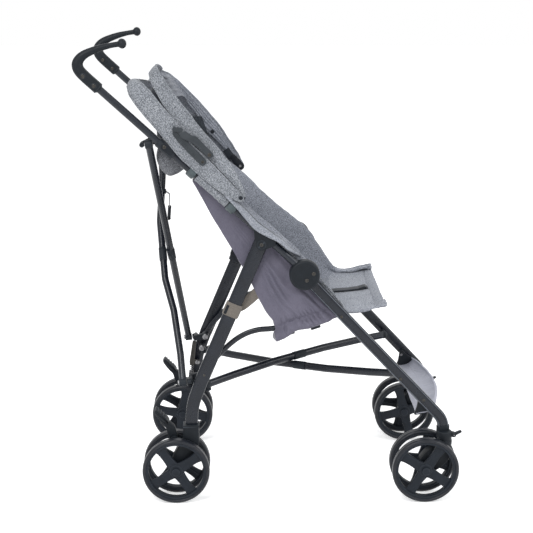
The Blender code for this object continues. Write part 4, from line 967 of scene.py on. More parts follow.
@each_side("side_link", "side_link")
def make_side_link(form, hand):
    y = hand * LINK_Y
    points = [LINK_REAR, (0.0812, 0.3127), (0.1214, 0.3543), (0.1525, 0.3760),
              (0.1834, 0.3865), (0.2201, 0.3900), (0.3000, 0.4020), LINK_FRONT]
    path = spline([side(p, y) for p in points], 8)
    tube(form, path, LINK_W / 2, LINK_T / 2, COAT, 32, Y_WAY, 0.75, 0.0010)
    half = LINK_T / 2 - 0.0002
    for p in (LINK_REAR, LINK_FRONT):
        y_cylinder(form, p, hand * (LINK_Y - half), hand * (LINK_Y + half), 0.0088, COAT, 0.0012)
    y_cylinder(form, LINK_FRONT, hand * LINK_Y, hand * (LEG_IN - 0.0006), 0.0048, PLASTIC)


# Wheels.

def turned(outline, centre, turn):
    return [(centre[0] + u * math.cos(turn) - v * math.sin(turn),
             centre[1] + u * math.sin(turn) + v * math.cos(turn)) for u, v in outline]


def wheel_web(form, centre, y_mid, phase, hand):
    """Four arms that widen into the hub and into the rim, each with a rib along its back."""
    long = 0.0640
    upper = []
    for i in range(15):
        u = long * i / 14
        v = 0.0092 + 0.0080 * math.exp(-u / 0.014) + 0.0055 * math.exp(-(long - u) / 0.009)
        upper.append((u, min(v, u * 1.05 + 0.004)))
    arm = upper + [(u, -v) for u, v in reversed(upper)]
    rib = [(0.018, 0.0022), (0.060, 0.0016), (0.060, -0.0016), (0.018, -0.0022)]
    for k in range(4):
        turn = phase + k * math.pi / 2
        slab(form, turned(arm, centre, turn), y_mid - 0.0043, y_mid + 0.0043, WHEEL_PLASTIC,
             0.0014)
        slab(form, soften(turned(rib, centre, turn), 0.001, 2), y_mid - hand * 0.0060,
             y_mid - hand * 0.0035, WHEEL_PLASTIC, 0.0006, 2)


def make_wheel(name, body, node, centre, y_mid, phase, hand):
    form = Form(name)
    half = WHEEL_W / 2
    origin = side(centre, y_mid)
    tyre = [(0.0672, -half + 0.0016), (0.0690, -half + 0.0003), (0.0712, -half + 0.0004),
            (0.0731, -half + 0.0016), (0.0744, -half + 0.0036), (0.0749, -half + 0.0062),
            (0.0750, -0.0020), (0.0747, -0.0012), (0.0747, 0.0012), (0.0750, 0.0020),
            (0.0749, half - 0.0062), (0.0744, half - 0.0036), (0.0731, half - 0.0016),
            (0.0712, half - 0.0004), (0.0690, half - 0.0003), (0.0672, half - 0.0016),
            (0.0662, half - 0.0040), (0.0662, -half + 0.0040)]
    ring_lathe(form, origin, tyre, FOAM)
    rim = [(0.0614, -half + 0.0032), (0.0622, -half + 0.0022), (0.0640, -half + 0.0018),
           (0.0656, -half + 0.0018), (0.0668, -half + 0.0026), (0.0670, -half + 0.0050),
           (0.0670, half - 0.0050), (0.0668, half - 0.0026), (0.0656, half - 0.0018),
           (0.0640, half - 0.0018), (0.0622, half - 0.0022), (0.0614, half - 0.0032),
           (0.0610, half - 0.0060), (0.0612, 0.0), (0.0610, -half + 0.0060)]
    ring_lathe(form, origin, rim, WHEEL_PLASTIC)
    wheel_web(form, centre, y_mid, phase, hand)
    boss = [(0.0085, -0.0064), (0.0120, -0.0060), (0.0145, -0.0050), (0.0150, -0.0036),
            (0.0150, 0.0036), (0.0145, 0.0050), (0.0120, 0.0060), (0.0085, 0.0064)]
    lathe(form, origin, Y_WAY, boss, WHEEL_PLASTIC, 48)
    form.done(body, [node], 40)


def make_wheels(hand):
    word = WORDS[hand]
    for label, centre, middle, phase in (("front", FRONT_AXLE, FRONT_PAIR_Y, 57),
                                         ("rear", REAR_AXLE, REAR_PAIR_Y, 34)):
        for way, offset in (("outer", WHEEL_PAIR_HALF), ("inner", -WHEEL_PAIR_HALF)):
            node = word + "_" + label + "_wheel_" + way
            turn = phase + (20 if way == "inner" else 0) + (27 if hand == LEFT else 0)
            make_wheel(node + "_fine", node, node, centre, hand * (middle + offset),
                       math.radians(turn), hand if way == "outer" else -hand)


# Half the width of the blocks between a pair's two wheels.
BLOCK_HALF = WHEEL_PAIR_HALF - WHEEL_W / 2 - 0.0030


def axle(form, centre, y_mid):
    reach = WHEEL_PAIR_HALF + WHEEL_W / 2 + 0.0003
    y_cylinder(form, centre, y_mid - reach, y_mid + reach, 0.004, STEEL)
    for way in (-1, 1):
        cap = [(0.0085, 0), (0.0085, 0.0012), (0.0078, 0.0021), (0.0050, 0.0025), (0, 0.0025)]
        lathe(form, side(centre, y_mid + way * reach), Y_WAY * way, cap, WHEEL_PLASTIC, 36)


@each_side("rear_axle_block", "rear_leg")
def make_axle_block(form, hand):
    y = hand * REAR_PAIR_Y
    half = BLOCK_HALF
    outline = [(0.0165, 0.1760), (0.0510, 0.1760), (0.0515, 0.1320), (0.0400, 0.1010),
               (0.0200, 0.0700), (0.0080, 0.0580), (-0.0090, 0.0590), (-0.0150, 0.0720),
               (-0.0100, 0.0950), (0.0040, 0.1250), (0.0150, 0.1400)]
    slab(form, soften(outline, 0.006), y - half, y + half, PLASTIC, 0.0024, 4)
    band = [(0.0160, 0.1758), (0.0515, 0.1758), (0.0518, 0.1700), (0.0160, 0.1700)]
    slab(form, soften(band, 0.0015, 3), y - half - 0.0004, y + half + 0.0004, PLASTIC, 0.0010)
    for way in (-1, 1):
        strap(form, [(BRAKE_PIVOT, 0.0075), ((0.0200, 0.1300), 0.010)],
              y + way * 0.0085, y + way * 0.0120, PLASTIC, 0.0009)
        rivet(form, side(BRAKE_PIVOT, y + way * 0.0119), Y_WAY * way, STEEL, 0.0026, 0.0008)
    y_cylinder(form, BRAKE_PIVOT, y - 0.0105, y + 0.0105, 0.0030, STEEL)
    axle(form, REAR_AXLE, y)


@each_side("brake_pedal", "brake_pedal")
def make_brake_pedal(form, hand):
    y = hand * REAR_PAIR_Y
    stem = [(-0.0105, 0.1340), (0.0025, 0.1340), (0.0030, 0.1500), (-0.0030, 0.1720),
            (-0.0120, 0.1790), (-0.0300, 0.1960), (-0.0420, 0.2110), (-0.0490, 0.2090),
            (-0.0480, 0.2010), (-0.0350, 0.1830), (-0.0240, 0.1720), (-0.0200, 0.1560)]
    slab(form, soften(stem, 0.005), y - 0.0075, y + 0.0075, PLASTIC, 0.0020, 4)
    tread = [(-0.0140, 0.1795), (-0.0295, 0.1868), (-0.0438, 0.2008), (-0.0482, 0.2080),
             (-0.0440, 0.2125), (-0.0300, 0.1985), (-0.0180, 0.1880)]
    slab(form, soften(tread, 0.0035), y - 0.0150, y + 0.0150, PLASTIC, 0.0022, 4)
    # grip ribs across the tread
    for k in range(4):
        share = k / 3
        x, z = -0.0225 - 0.0165 * share, 0.1925 + 0.0158 * share
        cylinder(form, at(x, y - 0.0125, z), at(x, y + 0.0125, z), 0.0013, PLASTIC, 0.0004, 12)


@each_side("caster_socket", "front_leg")
def make_caster_socket(form, hand):
    y = hand * FRONT_PAIR_Y
    x = CASTER_X
    profile = [(0.0150, 0.0), (0.0170, 0.0008), (0.0172, 0.0022), (0.0172, 0.0105),
               (0.0168, 0.0115), (0.0163, 0.0120), (0.0163, 0.0300), (0.0155, 0.0318),
               (0.0138, 0.0325)]
    lathe(form, at(x, y, 0.1245), Vector((0, 0, 1)), profile, PLASTIC, 48)
    collar = spaced(front_leg_path(hand), 0.004)
    near = [p for p in collar if p.z < 0.168]
    tube(form, near, FRONT_LEG_W / 2 + 0.0022, LEG_T / 2 + 0.0022, PLASTIC, 40, Y_WAY, 0.7, 0.0012)
    for way in (-1, 1):
        strap(form, [(LOCK_PIVOT, 0.0045), ((x + 0.012, 0.1490), 0.005)],
              y + way * 0.0050, y + way * 0.0075, PLASTIC, 0.0007)
        rivet(form, side(LOCK_PIVOT, y + way * 0.0074), Y_WAY * way, STEEL, 0.0018, 0.0006)
    y_cylinder(form, LOCK_PIVOT, y - 0.006, y + 0.006, 0.0020, STEEL)


@each_side("swivel_lock", "swivel_lock")
def make_swivel_lock(form, hand):
    y = hand * FRONT_PAIR_Y
    strap(form, [(LOCK_PIVOT, 0.0030), (LOCK_TIP, 0.0020)], y - 0.0044, y + 0.0044, PLASTIC,
          0.0009)
    slab(form, disc_outline(LOCK_PIVOT, 0.0043), y - 0.0042, y + 0.0042, PLASTIC, 0.0008)
    for k in range(3):
        x = LOCK_PIVOT[0] + 0.0070 + 0.0028 * k
        z = LOCK_PIVOT[1] + 0.0062 + 0.0012 * k
        cylinder(form, at(x, y - 0.0036, z), at(x, y + 0.0036, z), 0.0007, PLASTIC, 0.0002, 10)


@each_side("caster_fork", "caster")
def make_caster_fork(form, hand):
    y = hand * FRONT_PAIR_Y
    half = BLOCK_HALF
    outline = [(0.5750, 0.1215), (0.6195, 0.1215), (0.6200, 0.1080), (0.6080, 0.0880),
               (0.5900, 0.0700), (0.5700, 0.0600), (0.5500, 0.0600), (0.5440, 0.0720),
               (0.5450, 0.0900), (0.5580, 0.1080)]
    slab(form, soften(outline, 0.007), y - half, y + half, PLASTIC, 0.0026, 4)
    cylinder(form, at(CASTER_X, y, 0.1150), at(CASTER_X, y, 0.1375), 0.0065, STEEL)
    for way in (-1, 1):
        web = [(0.5640, 0.1120), (0.6120, 0.1120), (0.6010, 0.0960), (0.5830, 0.0820),
               (0.5640, 0.0860)]
        slab(form, soften(web, 0.005), y + way * (half - 0.001), y + way * (half + 0.0006),
             PLASTIC, 0.0005, 2)
    axle(form, FRONT_AXLE, y)


# The crossed braces.

# How far the left rear brace bows round the right one.
BOW = 0.0195
BRACE_NORMAL = normal_to(BRACE_TOP, BRACE_FOOT)
LOWER_NORMAL = -normal_to(LOWER_REAR, LOWER_FRONT)


@each_side("brace_top_knuckle", "top_knuckle")
def make_top_knuckle(form, hand):
    outer, inner = KNUCKLE_ARM_Y, KNUCKLE_ARM_Y - KNUCKLE_ARM_T
    normal = BRACE_NORMAL
    eye = side(BRACE_TOP, hand * BRACE_TOP_Y)
    back = eye + normal * (BRACE_R + 0.0065)
    back_point = (back.x - REAR_AXLE_X, back.z)
    knee = (BRACE_TOP[0] + 0.0025, BRACE_TOP[1] + 0.0065)
    strap(form, [(BRACE_TOP_PIVOT, 0.0085), (knee, 0.0055)], hand * outer, hand * inner, PLASTIC,
          0.0015)
    strap(form, [(knee, 0.0054), (back_point, 0.0053)], hand * (outer - 0.0002),
          hand * (inner + 0.0002), PLASTIC, 0.0015)
    slab(form, disc_outline(back_point, 0.0054), hand * (inner + 0.001),
         hand * (BRACE_TOP_Y + 0.0040), PLASTIC, 0.0015)
    cylinder(form, eye + normal * (BRACE_R + 0.004), eye - normal * (BRACE_R + 0.0016), 0.0030,
             STEEL)
    rivet(form, eye - normal * (BRACE_R + 0.0004), -normal, STEEL, 0.0045, 0.0014)


@each_side("brace_foot_knuckle", "foot_knuckle")
def make_foot_knuckle(form, hand):
    strap(form, [(LINK_REAR, 0.0085), ((0.0345, 0.2745), 0.0065)], hand * KNUCKLE_OUT,
          hand * KNUCKLE_IN, PLASTIC, 0.0015)
    slab(form, disc_outline((0.0345, 0.2745), 0.0052), hand * (KNUCKLE_IN + 0.001),
         hand * (BRACE_FOOT_Y + 0.004), PLASTIC, 0.0012)
    normal = BRACE_NORMAL
    eye = side(BRACE_FOOT, hand * BRACE_FOOT_Y)
    cylinder(form, eye - normal * 0.0190, eye - normal * (BRACE_R + 0.0016), 0.0058, PLASTIC,
             0.0010)


@each_side("rear_brace", "rear_brace")
def make_rear_brace(form, hand):
    top = side(BRACE_TOP, hand * BRACE_TOP_Y)
    foot = side(BRACE_FOOT, -hand * BRACE_FOOT_Y)
    normal = BRACE_NORMAL
    if hand == LEFT:
        shares = [(0.0, 0.0), (0.22, 0.004), (0.40, BOW), (0.62, BOW), (0.74, 0.006),
                  (0.90, 0.0), (1.0, 0.0)]
        path = rounded_path([top.lerp(foot, s) + normal * d for s, d in shares], 0.10, 6)
    else:
        path = [top.lerp(foot, s) for s in (0.0, 0.25, 0.5, 0.75, 1.0)]
    tube(form, path, BRACE_R, BRACE_R, COAT, 36)
    for p in (top, foot):
        belt(form, p, normal * BRACE_R, 0.0096, 0.0012)
    cylinder(form, foot + normal * (BRACE_R - 0.002), foot + normal * (BRACE_R + 0.0034), 0.0055,
             STEEL, 0.0010)
    # the sleeve where the braces cross
    crossing = BRACE_TOP_Y / (BRACE_TOP_Y + BRACE_FOOT_Y)
    centre = top.lerp(foot, crossing) + normal * (BOW if hand == LEFT else 0.0)
    run = (foot - top).normalized()
    belt(form, centre, run * 0.016, 0.0092, 0.0010)
    for reach in (-0.011, 0.011):
        belt(form, centre + run * reach, run * 0.0012, 0.0092, 0.0005)


def lower_ends(hand):
    start = at(LOWER_REAR[0] + 0.0185, hand * LOWER_BRACE_Y, LOWER_REAR[1])
    return start, side(LOWER_FRONT, -hand * LOWER_END_Y)


@each_side("lower_knuckle", "lower_knuckle")
def make_lower_knuckle(form, hand):
    low = (LOWER_REAR[0] + 0.0060, LOWER_REAR[1] - 0.0100)
    strap(form, [(LOWER_REAR, 0.0072), (low, 0.0045)], hand * KNUCKLE_OUT, hand * KNUCKLE_IN,
          PLASTIC, 0.0014)
    start = lower_ends(hand)[0]
    normal = LOWER_NORMAL
    seat_top = start - normal * (LOWER_BRACE_R + 0.0008)
    cylinder(form, seat_top - normal * 0.0050, seat_top, 0.0090, PLASTIC, 0.0010)
    foot = start - normal * (LOWER_BRACE_R + 0.0033)
    cylinder(form, Vector((foot.x - 0.0120, hand * (KNUCKLE_Y - 0.001), foot.z)), foot, 0.0023,
             PLASTIC)
    cylinder(form, seat_top - normal * 0.002, start + normal * (LOWER_BRACE_R + 0.0012), 0.0028,
             RIVET)
    rivet(form, start + normal * (LOWER_BRACE_R + 0.0006), normal, RIVET, 0.0052, 0.0020)


@each_side("lower_brace", "lower_brace")
def make_lower_brace(form, hand):
    lift = 1 if hand == RIGHT else -1
    start, end = lower_ends(hand)
    normal = LOWER_NORMAL
    shares = [(0.0, 0.0), (0.14, 0.0050), (0.36, 0.0100), (0.64, 0.0100), (0.86, 0.0050),
              (1.0, 0.0)]
    path = rounded_path([start.lerp(end, s) + normal * (d * lift) for s, d in shares], 0.10, 6)
    r = LOWER_BRACE_R
    tube(form, path, r + 0.0012, r - 0.0006, COAT, 36, Y_WAY)
    belt(form, start, normal * r, 0.0092, 0.0012)
    ball(form, end, 0.0092, PLASTIC)
    middle = start.lerp(end, 0.5) + normal * 0.0100 * lift
    belt(form, middle, (end - start).normalized() * 0.016, r + 0.0019, 0.0008)


# The fold lock, its spring and the carry hook.

def make_fold_lock():
    form = Form("fold_lock_fine")
    y = FOLD_LOCK_Y
    strap(form, [((0.0245, 0.2085), 0.0062), ((0.0310, 0.2590), 0.0048)], y,
          y + FOLD_LOCK_T, RIVET, 0.0008)
    strap(form, [(FOLD_LOCK_PIVOT, 0.0068), ((0.0250, 0.2085), 0.0055)], y + 0.0002,
          y + FOLD_LOCK_T - 0.0002, RIVET, 0.0008)
    toe = [(0.0185, 0.1995), (0.0290, 0.1995), (0.0290, 0.2035), (0.0185, 0.2035)]
    slab(form, soften(toe, 0.0010, 3), y + 0.001, 0.1752, RIVET, 0.0006)
    form.done("fold_lock", ["fold_lock"])


def make_lock_spring():
    form = Form("lock_spring_fine")
    path = []
    coils, each = 5, 20
    for i in range(coils * each + 1):
        a = 2 * math.pi * i / each
        share = i / (coils * each)
        climb = min(1.0, max(0.0, (share - 0.08) / 0.84))
        z = 0.1772 + (0.1975 - 0.1772) * climb + 0.0008 * share
        path.append(at(0.0237 + 0.0040 * math.cos(a), 0.1702 + 0.0040 * math.sin(a), z))
    tube(form, path, 0.0008, 0.0008, STEEL, 10, None, 1.0, 0.0002)
    form.done("left_rear_leg", ["lock_spring"], 60)


def make_carry_hook():
    form = Form("carry_hook_fine")
    top = side(BRACE_TOP, BRACE_TOP_Y)
    foot = side(BRACE_FOOT, -BRACE_FOOT_Y)
    normal = BRACE_NORMAL
    centre = top.lerp(foot, 0.284) + normal * 0.0093
    run = (top.lerp(foot, 0.34) + normal * 0.0135) - (top.lerp(foot, 0.24) + normal * 0.0055)
    run.normalize()
    belt(form, centre, run * 0.0045, 0.0106, 0.0010)
    front = centre + Vector((0.0130, 0, 0))
    for gap in (-0.0042, 0.0042):
        wire = [front + Vector(p) for p in ((-0.006, gap, 0.001), (0.005, gap, -0.006),
                                            (0.005, gap * 0.8, -0.036))]
        tube(form, rounded_path(wire, 0.004, 8), 0.0010, 0.0010, STEEL, 12, None, 1.0, 0.0002)
    for low, high, radius, look, edge, around in (
            ((0.005, -0.005, -0.036), (0.005, 0.005, -0.036), 0.0013, STEEL, 0.0003, 14),
            ((0.005, 0, -0.034), (0.003, 0, -0.062), 0.0040, GLOSS, 0.0014, 24)):
        cylinder(form, front + Vector(low), front + Vector(high), radius, look, edge, around)
    ball(form, front + Vector((0.0027, 0, -0.0650)), 0.0046, GLOSS)
    form.done("left_rear_brace", ["carry_hook"])


# The hood's folding arms.

def hood_point(e, m):
    place = Vector((HOOD_PIVOT[0], 0, HOOD_PIVOT[1])) + HOOD_ALONG * e + HOOD_UP * m
    return (place.x, place.z)


STAY_REAR = hood_point(0.1110, -0.0005)
STAY_FRONT = hood_point(0.1116, 0.0205)
STAY_REAR_END = hood_point(0.1930, 0.0010)
STAY_FRONT_END = hood_point(0.1910, 0.0160)
STAY_ELBOW = hood_point(0.2010, 0.0085)
STAY_IN = STAY_Y - STAY_T / 2
ARM_EYE_R = 0.0080
# the arms' outer edges, along and up from the hood's pivot
LOWER_ARM = [(0.1450, -0.0076), (0.1792, -0.0058), (0.1936, -0.0035), (0.2010, 0.0013),
             (0.1914, 0.0069), (0.1604, 0.0084)]
UPPER_ARM = [(0.1354, 0.0160), (0.1593, 0.0115), (0.1780, 0.0056), (0.1893, 0.0079),
             (0.1825, 0.0215), (0.1650, 0.0246), (0.1585, 0.0300), (0.1353, 0.0287)]


def arm_outline(eye, edge):
    """The round eye closed by the arm's edge."""
    away = Vector((math.cos(HOOD_TILT), math.sin(HOOD_TILT)))
    start = math.atan2(away.y, away.x) + math.pi / 2
    round_end = [(eye[0] + ARM_EYE_R * math.cos(start + t * math.pi / 12),
                  eye[1] + ARM_EYE_R * math.sin(start + t * math.pi / 12)) for t in range(13)]
    return soften(round_end + [hood_point(e, m) for e, m in reversed(edge)], 0.0015, 3)


def hood_arm(form, hand, eye, edge, end, low, high):
    slab(form, arm_outline(eye, edge), low, high, ARM_GREY, 0.0008)
    strap(form, [end, (STAY_ELBOW, 0.0048)], low + hand * 0.0001, high - hand * 0.0001,
          ARM_GREY, 0.0008)


@each_side("hood_stay_rear", "hood_lower_arm", "hood_lower_arm")
def make_lower_arm(form, hand):
    high = hand * (STAY_Y + STAY_T / 2)
    hood_arm(form, hand, STAY_REAR, LOWER_ARM, (STAY_REAR_END, 0.0044), hand * STAY_IN, high)
    rivet(form, side(STAY_REAR, high), Y_WAY * hand, RIVET, 0.0034, 0.0012)


@each_side("hood_stay_front", "hood_upper_arm", "hood_upper_arm")
def make_upper_arm(form, hand):
    low = hand * (STAY_Y + STAY_T / 2 + LAYER)
    high = low + hand * STAY_T
    hood_arm(form, hand, STAY_FRONT, UPPER_ARM, (STAY_FRONT_END, 0.0050), low, high)
    rivet(form, side(STAY_FRONT, high), Y_WAY * hand)
    y_cylinder(form, STAY_ELBOW, low + hand * 0.001, hand * (STAY_IN - 0.0001), 0.0020, STEEL)


SIDE_PIECES = (make_push_tube, make_grip, make_hub, make_leg_bracket, make_brace_clamp,
               make_front_leg, make_rear_leg, make_side_link, make_wheels, make_axle_block,
               make_brake_pedal, make_caster_socket, make_swivel_lock, make_caster_fork,
               make_top_knuckle, make_foot_knuckle, make_rear_brace, make_lower_knuckle,
               make_lower_brace, make_lower_arm, make_upper_arm)


def make_rigid():
    for hand in (RIGHT, LEFT):
        for make in SIDE_PIECES:
            make(hand)
    make_fold_lock()
    make_lock_spring()
    make_carry_hook()


# Cloth. A sheet is a grid of places that is given folds along its normal and a thickness.

# A sheet's edges have this share of its thickness.
RIM_SHARE = 0.45
# Half the room the seat has between the push tubes.
SEAT_HALF = 0.188


def between(value, table):
    """Reads a value from a table of (place, value), with straight lines in between."""
    places = [row[0] for row in table]
    return float(np.interp(value, places, [row[1] for row in table]))


def step_up(value, low, high):
    t = min(1.0, max(0.0, (value - low) / (high - low)))
    return t * t * (3 - 2 * t)


def bump_at(value, centre, width):
    return math.exp(-((value - centre) / width) ** 2)


def as_grid(rows):
    return np.array([[tuple(p) for p in row] for row in rows], float)


def grid_normals(grid, outward):
    du = np.gradient(grid, axis=0)
    dv = np.gradient(grid, axis=1)
    normal = np.cross(du, dv)
    normal /= np.maximum(np.linalg.norm(normal, axis=2, keepdims=True), 1e-12)
    middle = normal[grid.shape[0] // 2, grid.shape[1] // 2]
    if float(np.dot(middle, np.array(outward))) < 0:
        normal = -normal
    return normal


def folded(grid, outward, height):
    """Moves each place of the grid along its normal by height(row share, column share, place)."""
    grid = as_grid(grid)
    normal = grid_normals(grid, outward)
    rows, cols = grid.shape[:2]
    out = grid.copy()
    for i in range(rows):
        for j in range(cols):
            h = height(i / (rows - 1), j / (cols - 1), grid[i, j])
            out[i, j] += normal[i, j] * h
    return out


def soft_noise(place, scale, seed):
    return noise.noise(Vector((place[0] * scale + seed, place[1] * scale - seed,
                               place[2] * scale + 2 * seed)))


def add_cloth(form, grid, outward, front, back, thick, patch=None):
    """The sheet's mesh. thick is a number, or takes the row and column shares, as patch does,
    which gives the look of a seam or patch there, or None."""
    grid = as_grid(grid)
    normal = grid_normals(grid, outward)
    rows, cols = grid.shape[:2]
    work = form.work
    high, low = [], []
    for i in range(rows):
        up, down = [], []
        for j in range(cols):
            t = thick(i / (rows - 1), j / (cols - 1)) if callable(thick) else thick
            rim = i in (0, rows - 1) or j in (0, cols - 1)
            t *= RIM_SHARE if rim else 1.0
            up.append(work.verts.new(grid[i, j] + normal[i, j] * t / 2))
            down.append(work.verts.new(grid[i, j] - normal[i, j] * t / 2))
        high.append(up)
        low.append(down)
    faces = []
    fronts, backs = form.index(front), form.index(back)
    for i in range(rows - 1):
        for j in range(cols - 1):
            a = work.faces.new((high[i][j], high[i + 1][j], high[i + 1][j + 1], high[i][j + 1]))
            a.material_index = fronts
            b = work.faces.new((low[i][j], low[i][j + 1], low[i + 1][j + 1], low[i + 1][j]))
            b.material_index = backs
            other = patch((i + 0.5) / (rows - 1), (j + 0.5) / (cols - 1)) if patch else None
            if other:
                a.material_index = b.material_index = form.index(other)
            faces += [a, b]
    edge = [(i, 0) for i in range(rows)] + [(rows - 1, j) for j in range(1, cols)]
    edge += [(i, cols - 1) for i in range(rows - 2, -1, -1)]
    edge += [(0, j) for j in range(cols - 2, 0, -1)]
    for (i, j), (k, m) in zip(edge, edge[1:] + edge[:1]):
        face = work.faces.new((high[i][j], high[k][m], low[k][m], low[i][j]))
        face.material_index = fronts
        faces.append(face)
    form.finish_faces(faces)
    return grid_area(grid)


def grid_area(grid):
    a = grid[1:, :-1] - grid[:-1, :-1]
    b = grid[:-1, 1:] - grid[:-1, :-1]
    return float(np.linalg.norm(np.cross(a, b), axis=2).sum())


def stitches(form, path, away, look, pitch=0.0052, length=0.0034, r=0.00045):
    """A row of short threads along path, lying just proud on the side of away."""
    line = spaced(path, 0.0008)
    run, last = 0.0, line[0]
    spots = []
    for p in line[1:]:
        run += (p - last).length
        if run >= pitch:
            spots.append((p, (p - last).normalized()))
            run = 0.0
        last = p
    for p, way in spots:
        a = p + away * r * 0.6 - way * length / 2
        b = p + away * r * 0.6 + way * length / 2
        rings = []
        across = way.cross(away).normalized()
        for k, q in ((0.35, a), (1.0, a.lerp(b, 0.25)), (1.0, a.lerp(b, 0.75)), (0.35, b)):
            rings.append([q + k * r * (math.cos(t) * across + math.sin(t) * away)
                          for t in (0.0, 1.2566, 2.5133, 3.7699, 5.0265)])
        form.skin(rings, look)


def crumple(item, half, wide=None):
    """Gives the piece a mesh of its own."""
    wide = wide or 2 * half
    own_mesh(item)


# The hood. Its places are measured along the folded bands from their pivot (e), up from
# them (m), and across (y).

REAR_LOW = [(-0.0085, -0.0010), (-0.0045, -0.0066), (0.0106, -0.0154), (0.0347, -0.0209),
            (0.0610, -0.0241), (0.0850, -0.0266), (0.1074, -0.0276), (0.1440, -0.0290),
            (0.1623, -0.0279), (0.1792, -0.0253), (0.2211, -0.0206), (0.2583, -0.0175),
            (0.2968, -0.0130), (0.3141, -0.0097), (0.3360, 0.0000)]
REAR_HIGH = [(-0.0085, 0.0005), (-0.0060, 0.0045), (0.0, 0.0060), (0.017, 0.0075),
             (0.064, 0.0098), (0.113, 0.0118), (0.156, 0.0108), (0.176, 0.0135),
             (0.190, 0.0172), (0.205, 0.0212), (0.228, 0.0235), (0.250, 0.0250),
             (0.270, 0.0275), (0.292, 0.0305), (0.312, 0.0300), (0.336, 0.0245)]
FRONT_LOW = [(-0.006, 0.0030), (0.0, 0.0050), (0.020, 0.0085), (0.064, 0.0105),
             (0.113, 0.0122), (0.156, 0.0112), (0.190, 0.0152), (0.205, 0.0200),
             (0.223, 0.0226), (0.242, 0.0250), (0.256, 0.0276), (0.271, 0.0325),
             (0.294, 0.0392), (0.307, 0.0445), (0.322, 0.0520)]
FRONT_HIGH = [(-0.006, 0.0080), (0.0, 0.0115), (0.016, 0.0209), (0.045, 0.0319),
              (0.075, 0.0385), (0.112, 0.0436), (0.149, 0.0457), (0.180, 0.0493),
              (0.200, 0.0535), (0.225, 0.0559), (0.253, 0.0608), (0.276, 0.0642),
              (0.302, 0.0705), (0.322, 0.0749)]
FAR_HIGH = [(-0.006, 0.0050), (0.0, 0.0080), (0.034, 0.0203), (0.068, 0.0285),
            (0.104, 0.0372), (0.180, 0.0440), (0.247, 0.0450), (0.291, 0.0420),
            (0.322, 0.0345)]


def hood_place(e, y, m):
    return side(HOOD_PIVOT, y) + HOOD_ALONG * e + HOOD_UP * m


def hood_line(reach, half, corner, start, step):
    """Places (e, y, out e, out y) from the right pivot over the top to the left pivot."""
    points = [Vector((start, -half, 0)), Vector((reach, -half, 0)), Vector((reach, half, 0)),
              Vector((start, half, 0))]
    line = spaced(rounded_path(points, corner, 14), step)
    out = []
    for i, p in enumerate(line):
        a, b = line[max(i - 1, 0)], line[min(i + 1, len(line) - 1)]
        run = (b - a).normalized()
        out.append((p.x, p.y, run.y, -run.x))
    return out


def hood_grid(line, low, high, across, crown, shift):
    """The band swells out by crown in its middle. shift says how far a place moves along the
    band, from e, y and its share across it."""
    rows = []
    for e, y, oe, oy in line:
        m0, m1 = low(e, y), high(e, y)
        row = []
        for k in range(across + 1):
            share = k / across
            out = crown * math.sin(math.pi * share)
            row.append(hood_place(e + oe * out + shift(e, y, share), y + oy * out,
                                  m0 + (m1 - m0) * share))
        rows.append(row)
    return rows


def hem(share, width):
    """1 within a hem at either edge, else 0."""
    edge = min(share, 1 - share)
    return step_up(width - edge, -0.02, 0.01)


def stitch_line(share, middle):
    return bump_at(share, middle, 0.012)


# The rear band's sewing, and half a dark seam's width, as shares of a band's width.
SEAM_AT = 0.085
SEAM_HALF = 0.011
# Cloth on the hood's bands, without its hems.
BAND_THICK = 0.0026


def seam_patch(edge):
    """A dark line of sewing near both edges of a band."""
    def pick(u, v):
        return SEAM if min(abs(v - edge), abs(v - (1 - edge))) < SEAM_HALF else None
    return pick


def rear_high(e, y):
    # the far side is cut lower than the near one
    near = between(e, REAR_HIGH)
    return near + (min(near, 0.0150) - near) * step_up(y, -0.02, 0.19)


def rear_shift(e, y, share):
    # the band's top is rounded at the near side and sinks towards the far side
    top = step_up(e, 0.27, 0.335)
    sink = -0.235 * e * step_up(y, -0.20, 0.17)
    return sink + top * (0.0045 * math.sin(math.pi * share) - 0.0080 * share ** 3)


def band_stitches(form, grid, columns):
    total = len(grid)
    for v in columns:
        path = [Vector(grid[i][v]) for i in range(4, total - 4)]
        for part in (path[:total // 3], path[-(total // 3):]):
            away = Y_WAY * (RIGHT if part[0].y < 0 else LEFT)
            stitches(form, [p + away * 0.0011 for p in part], away, THREAD)


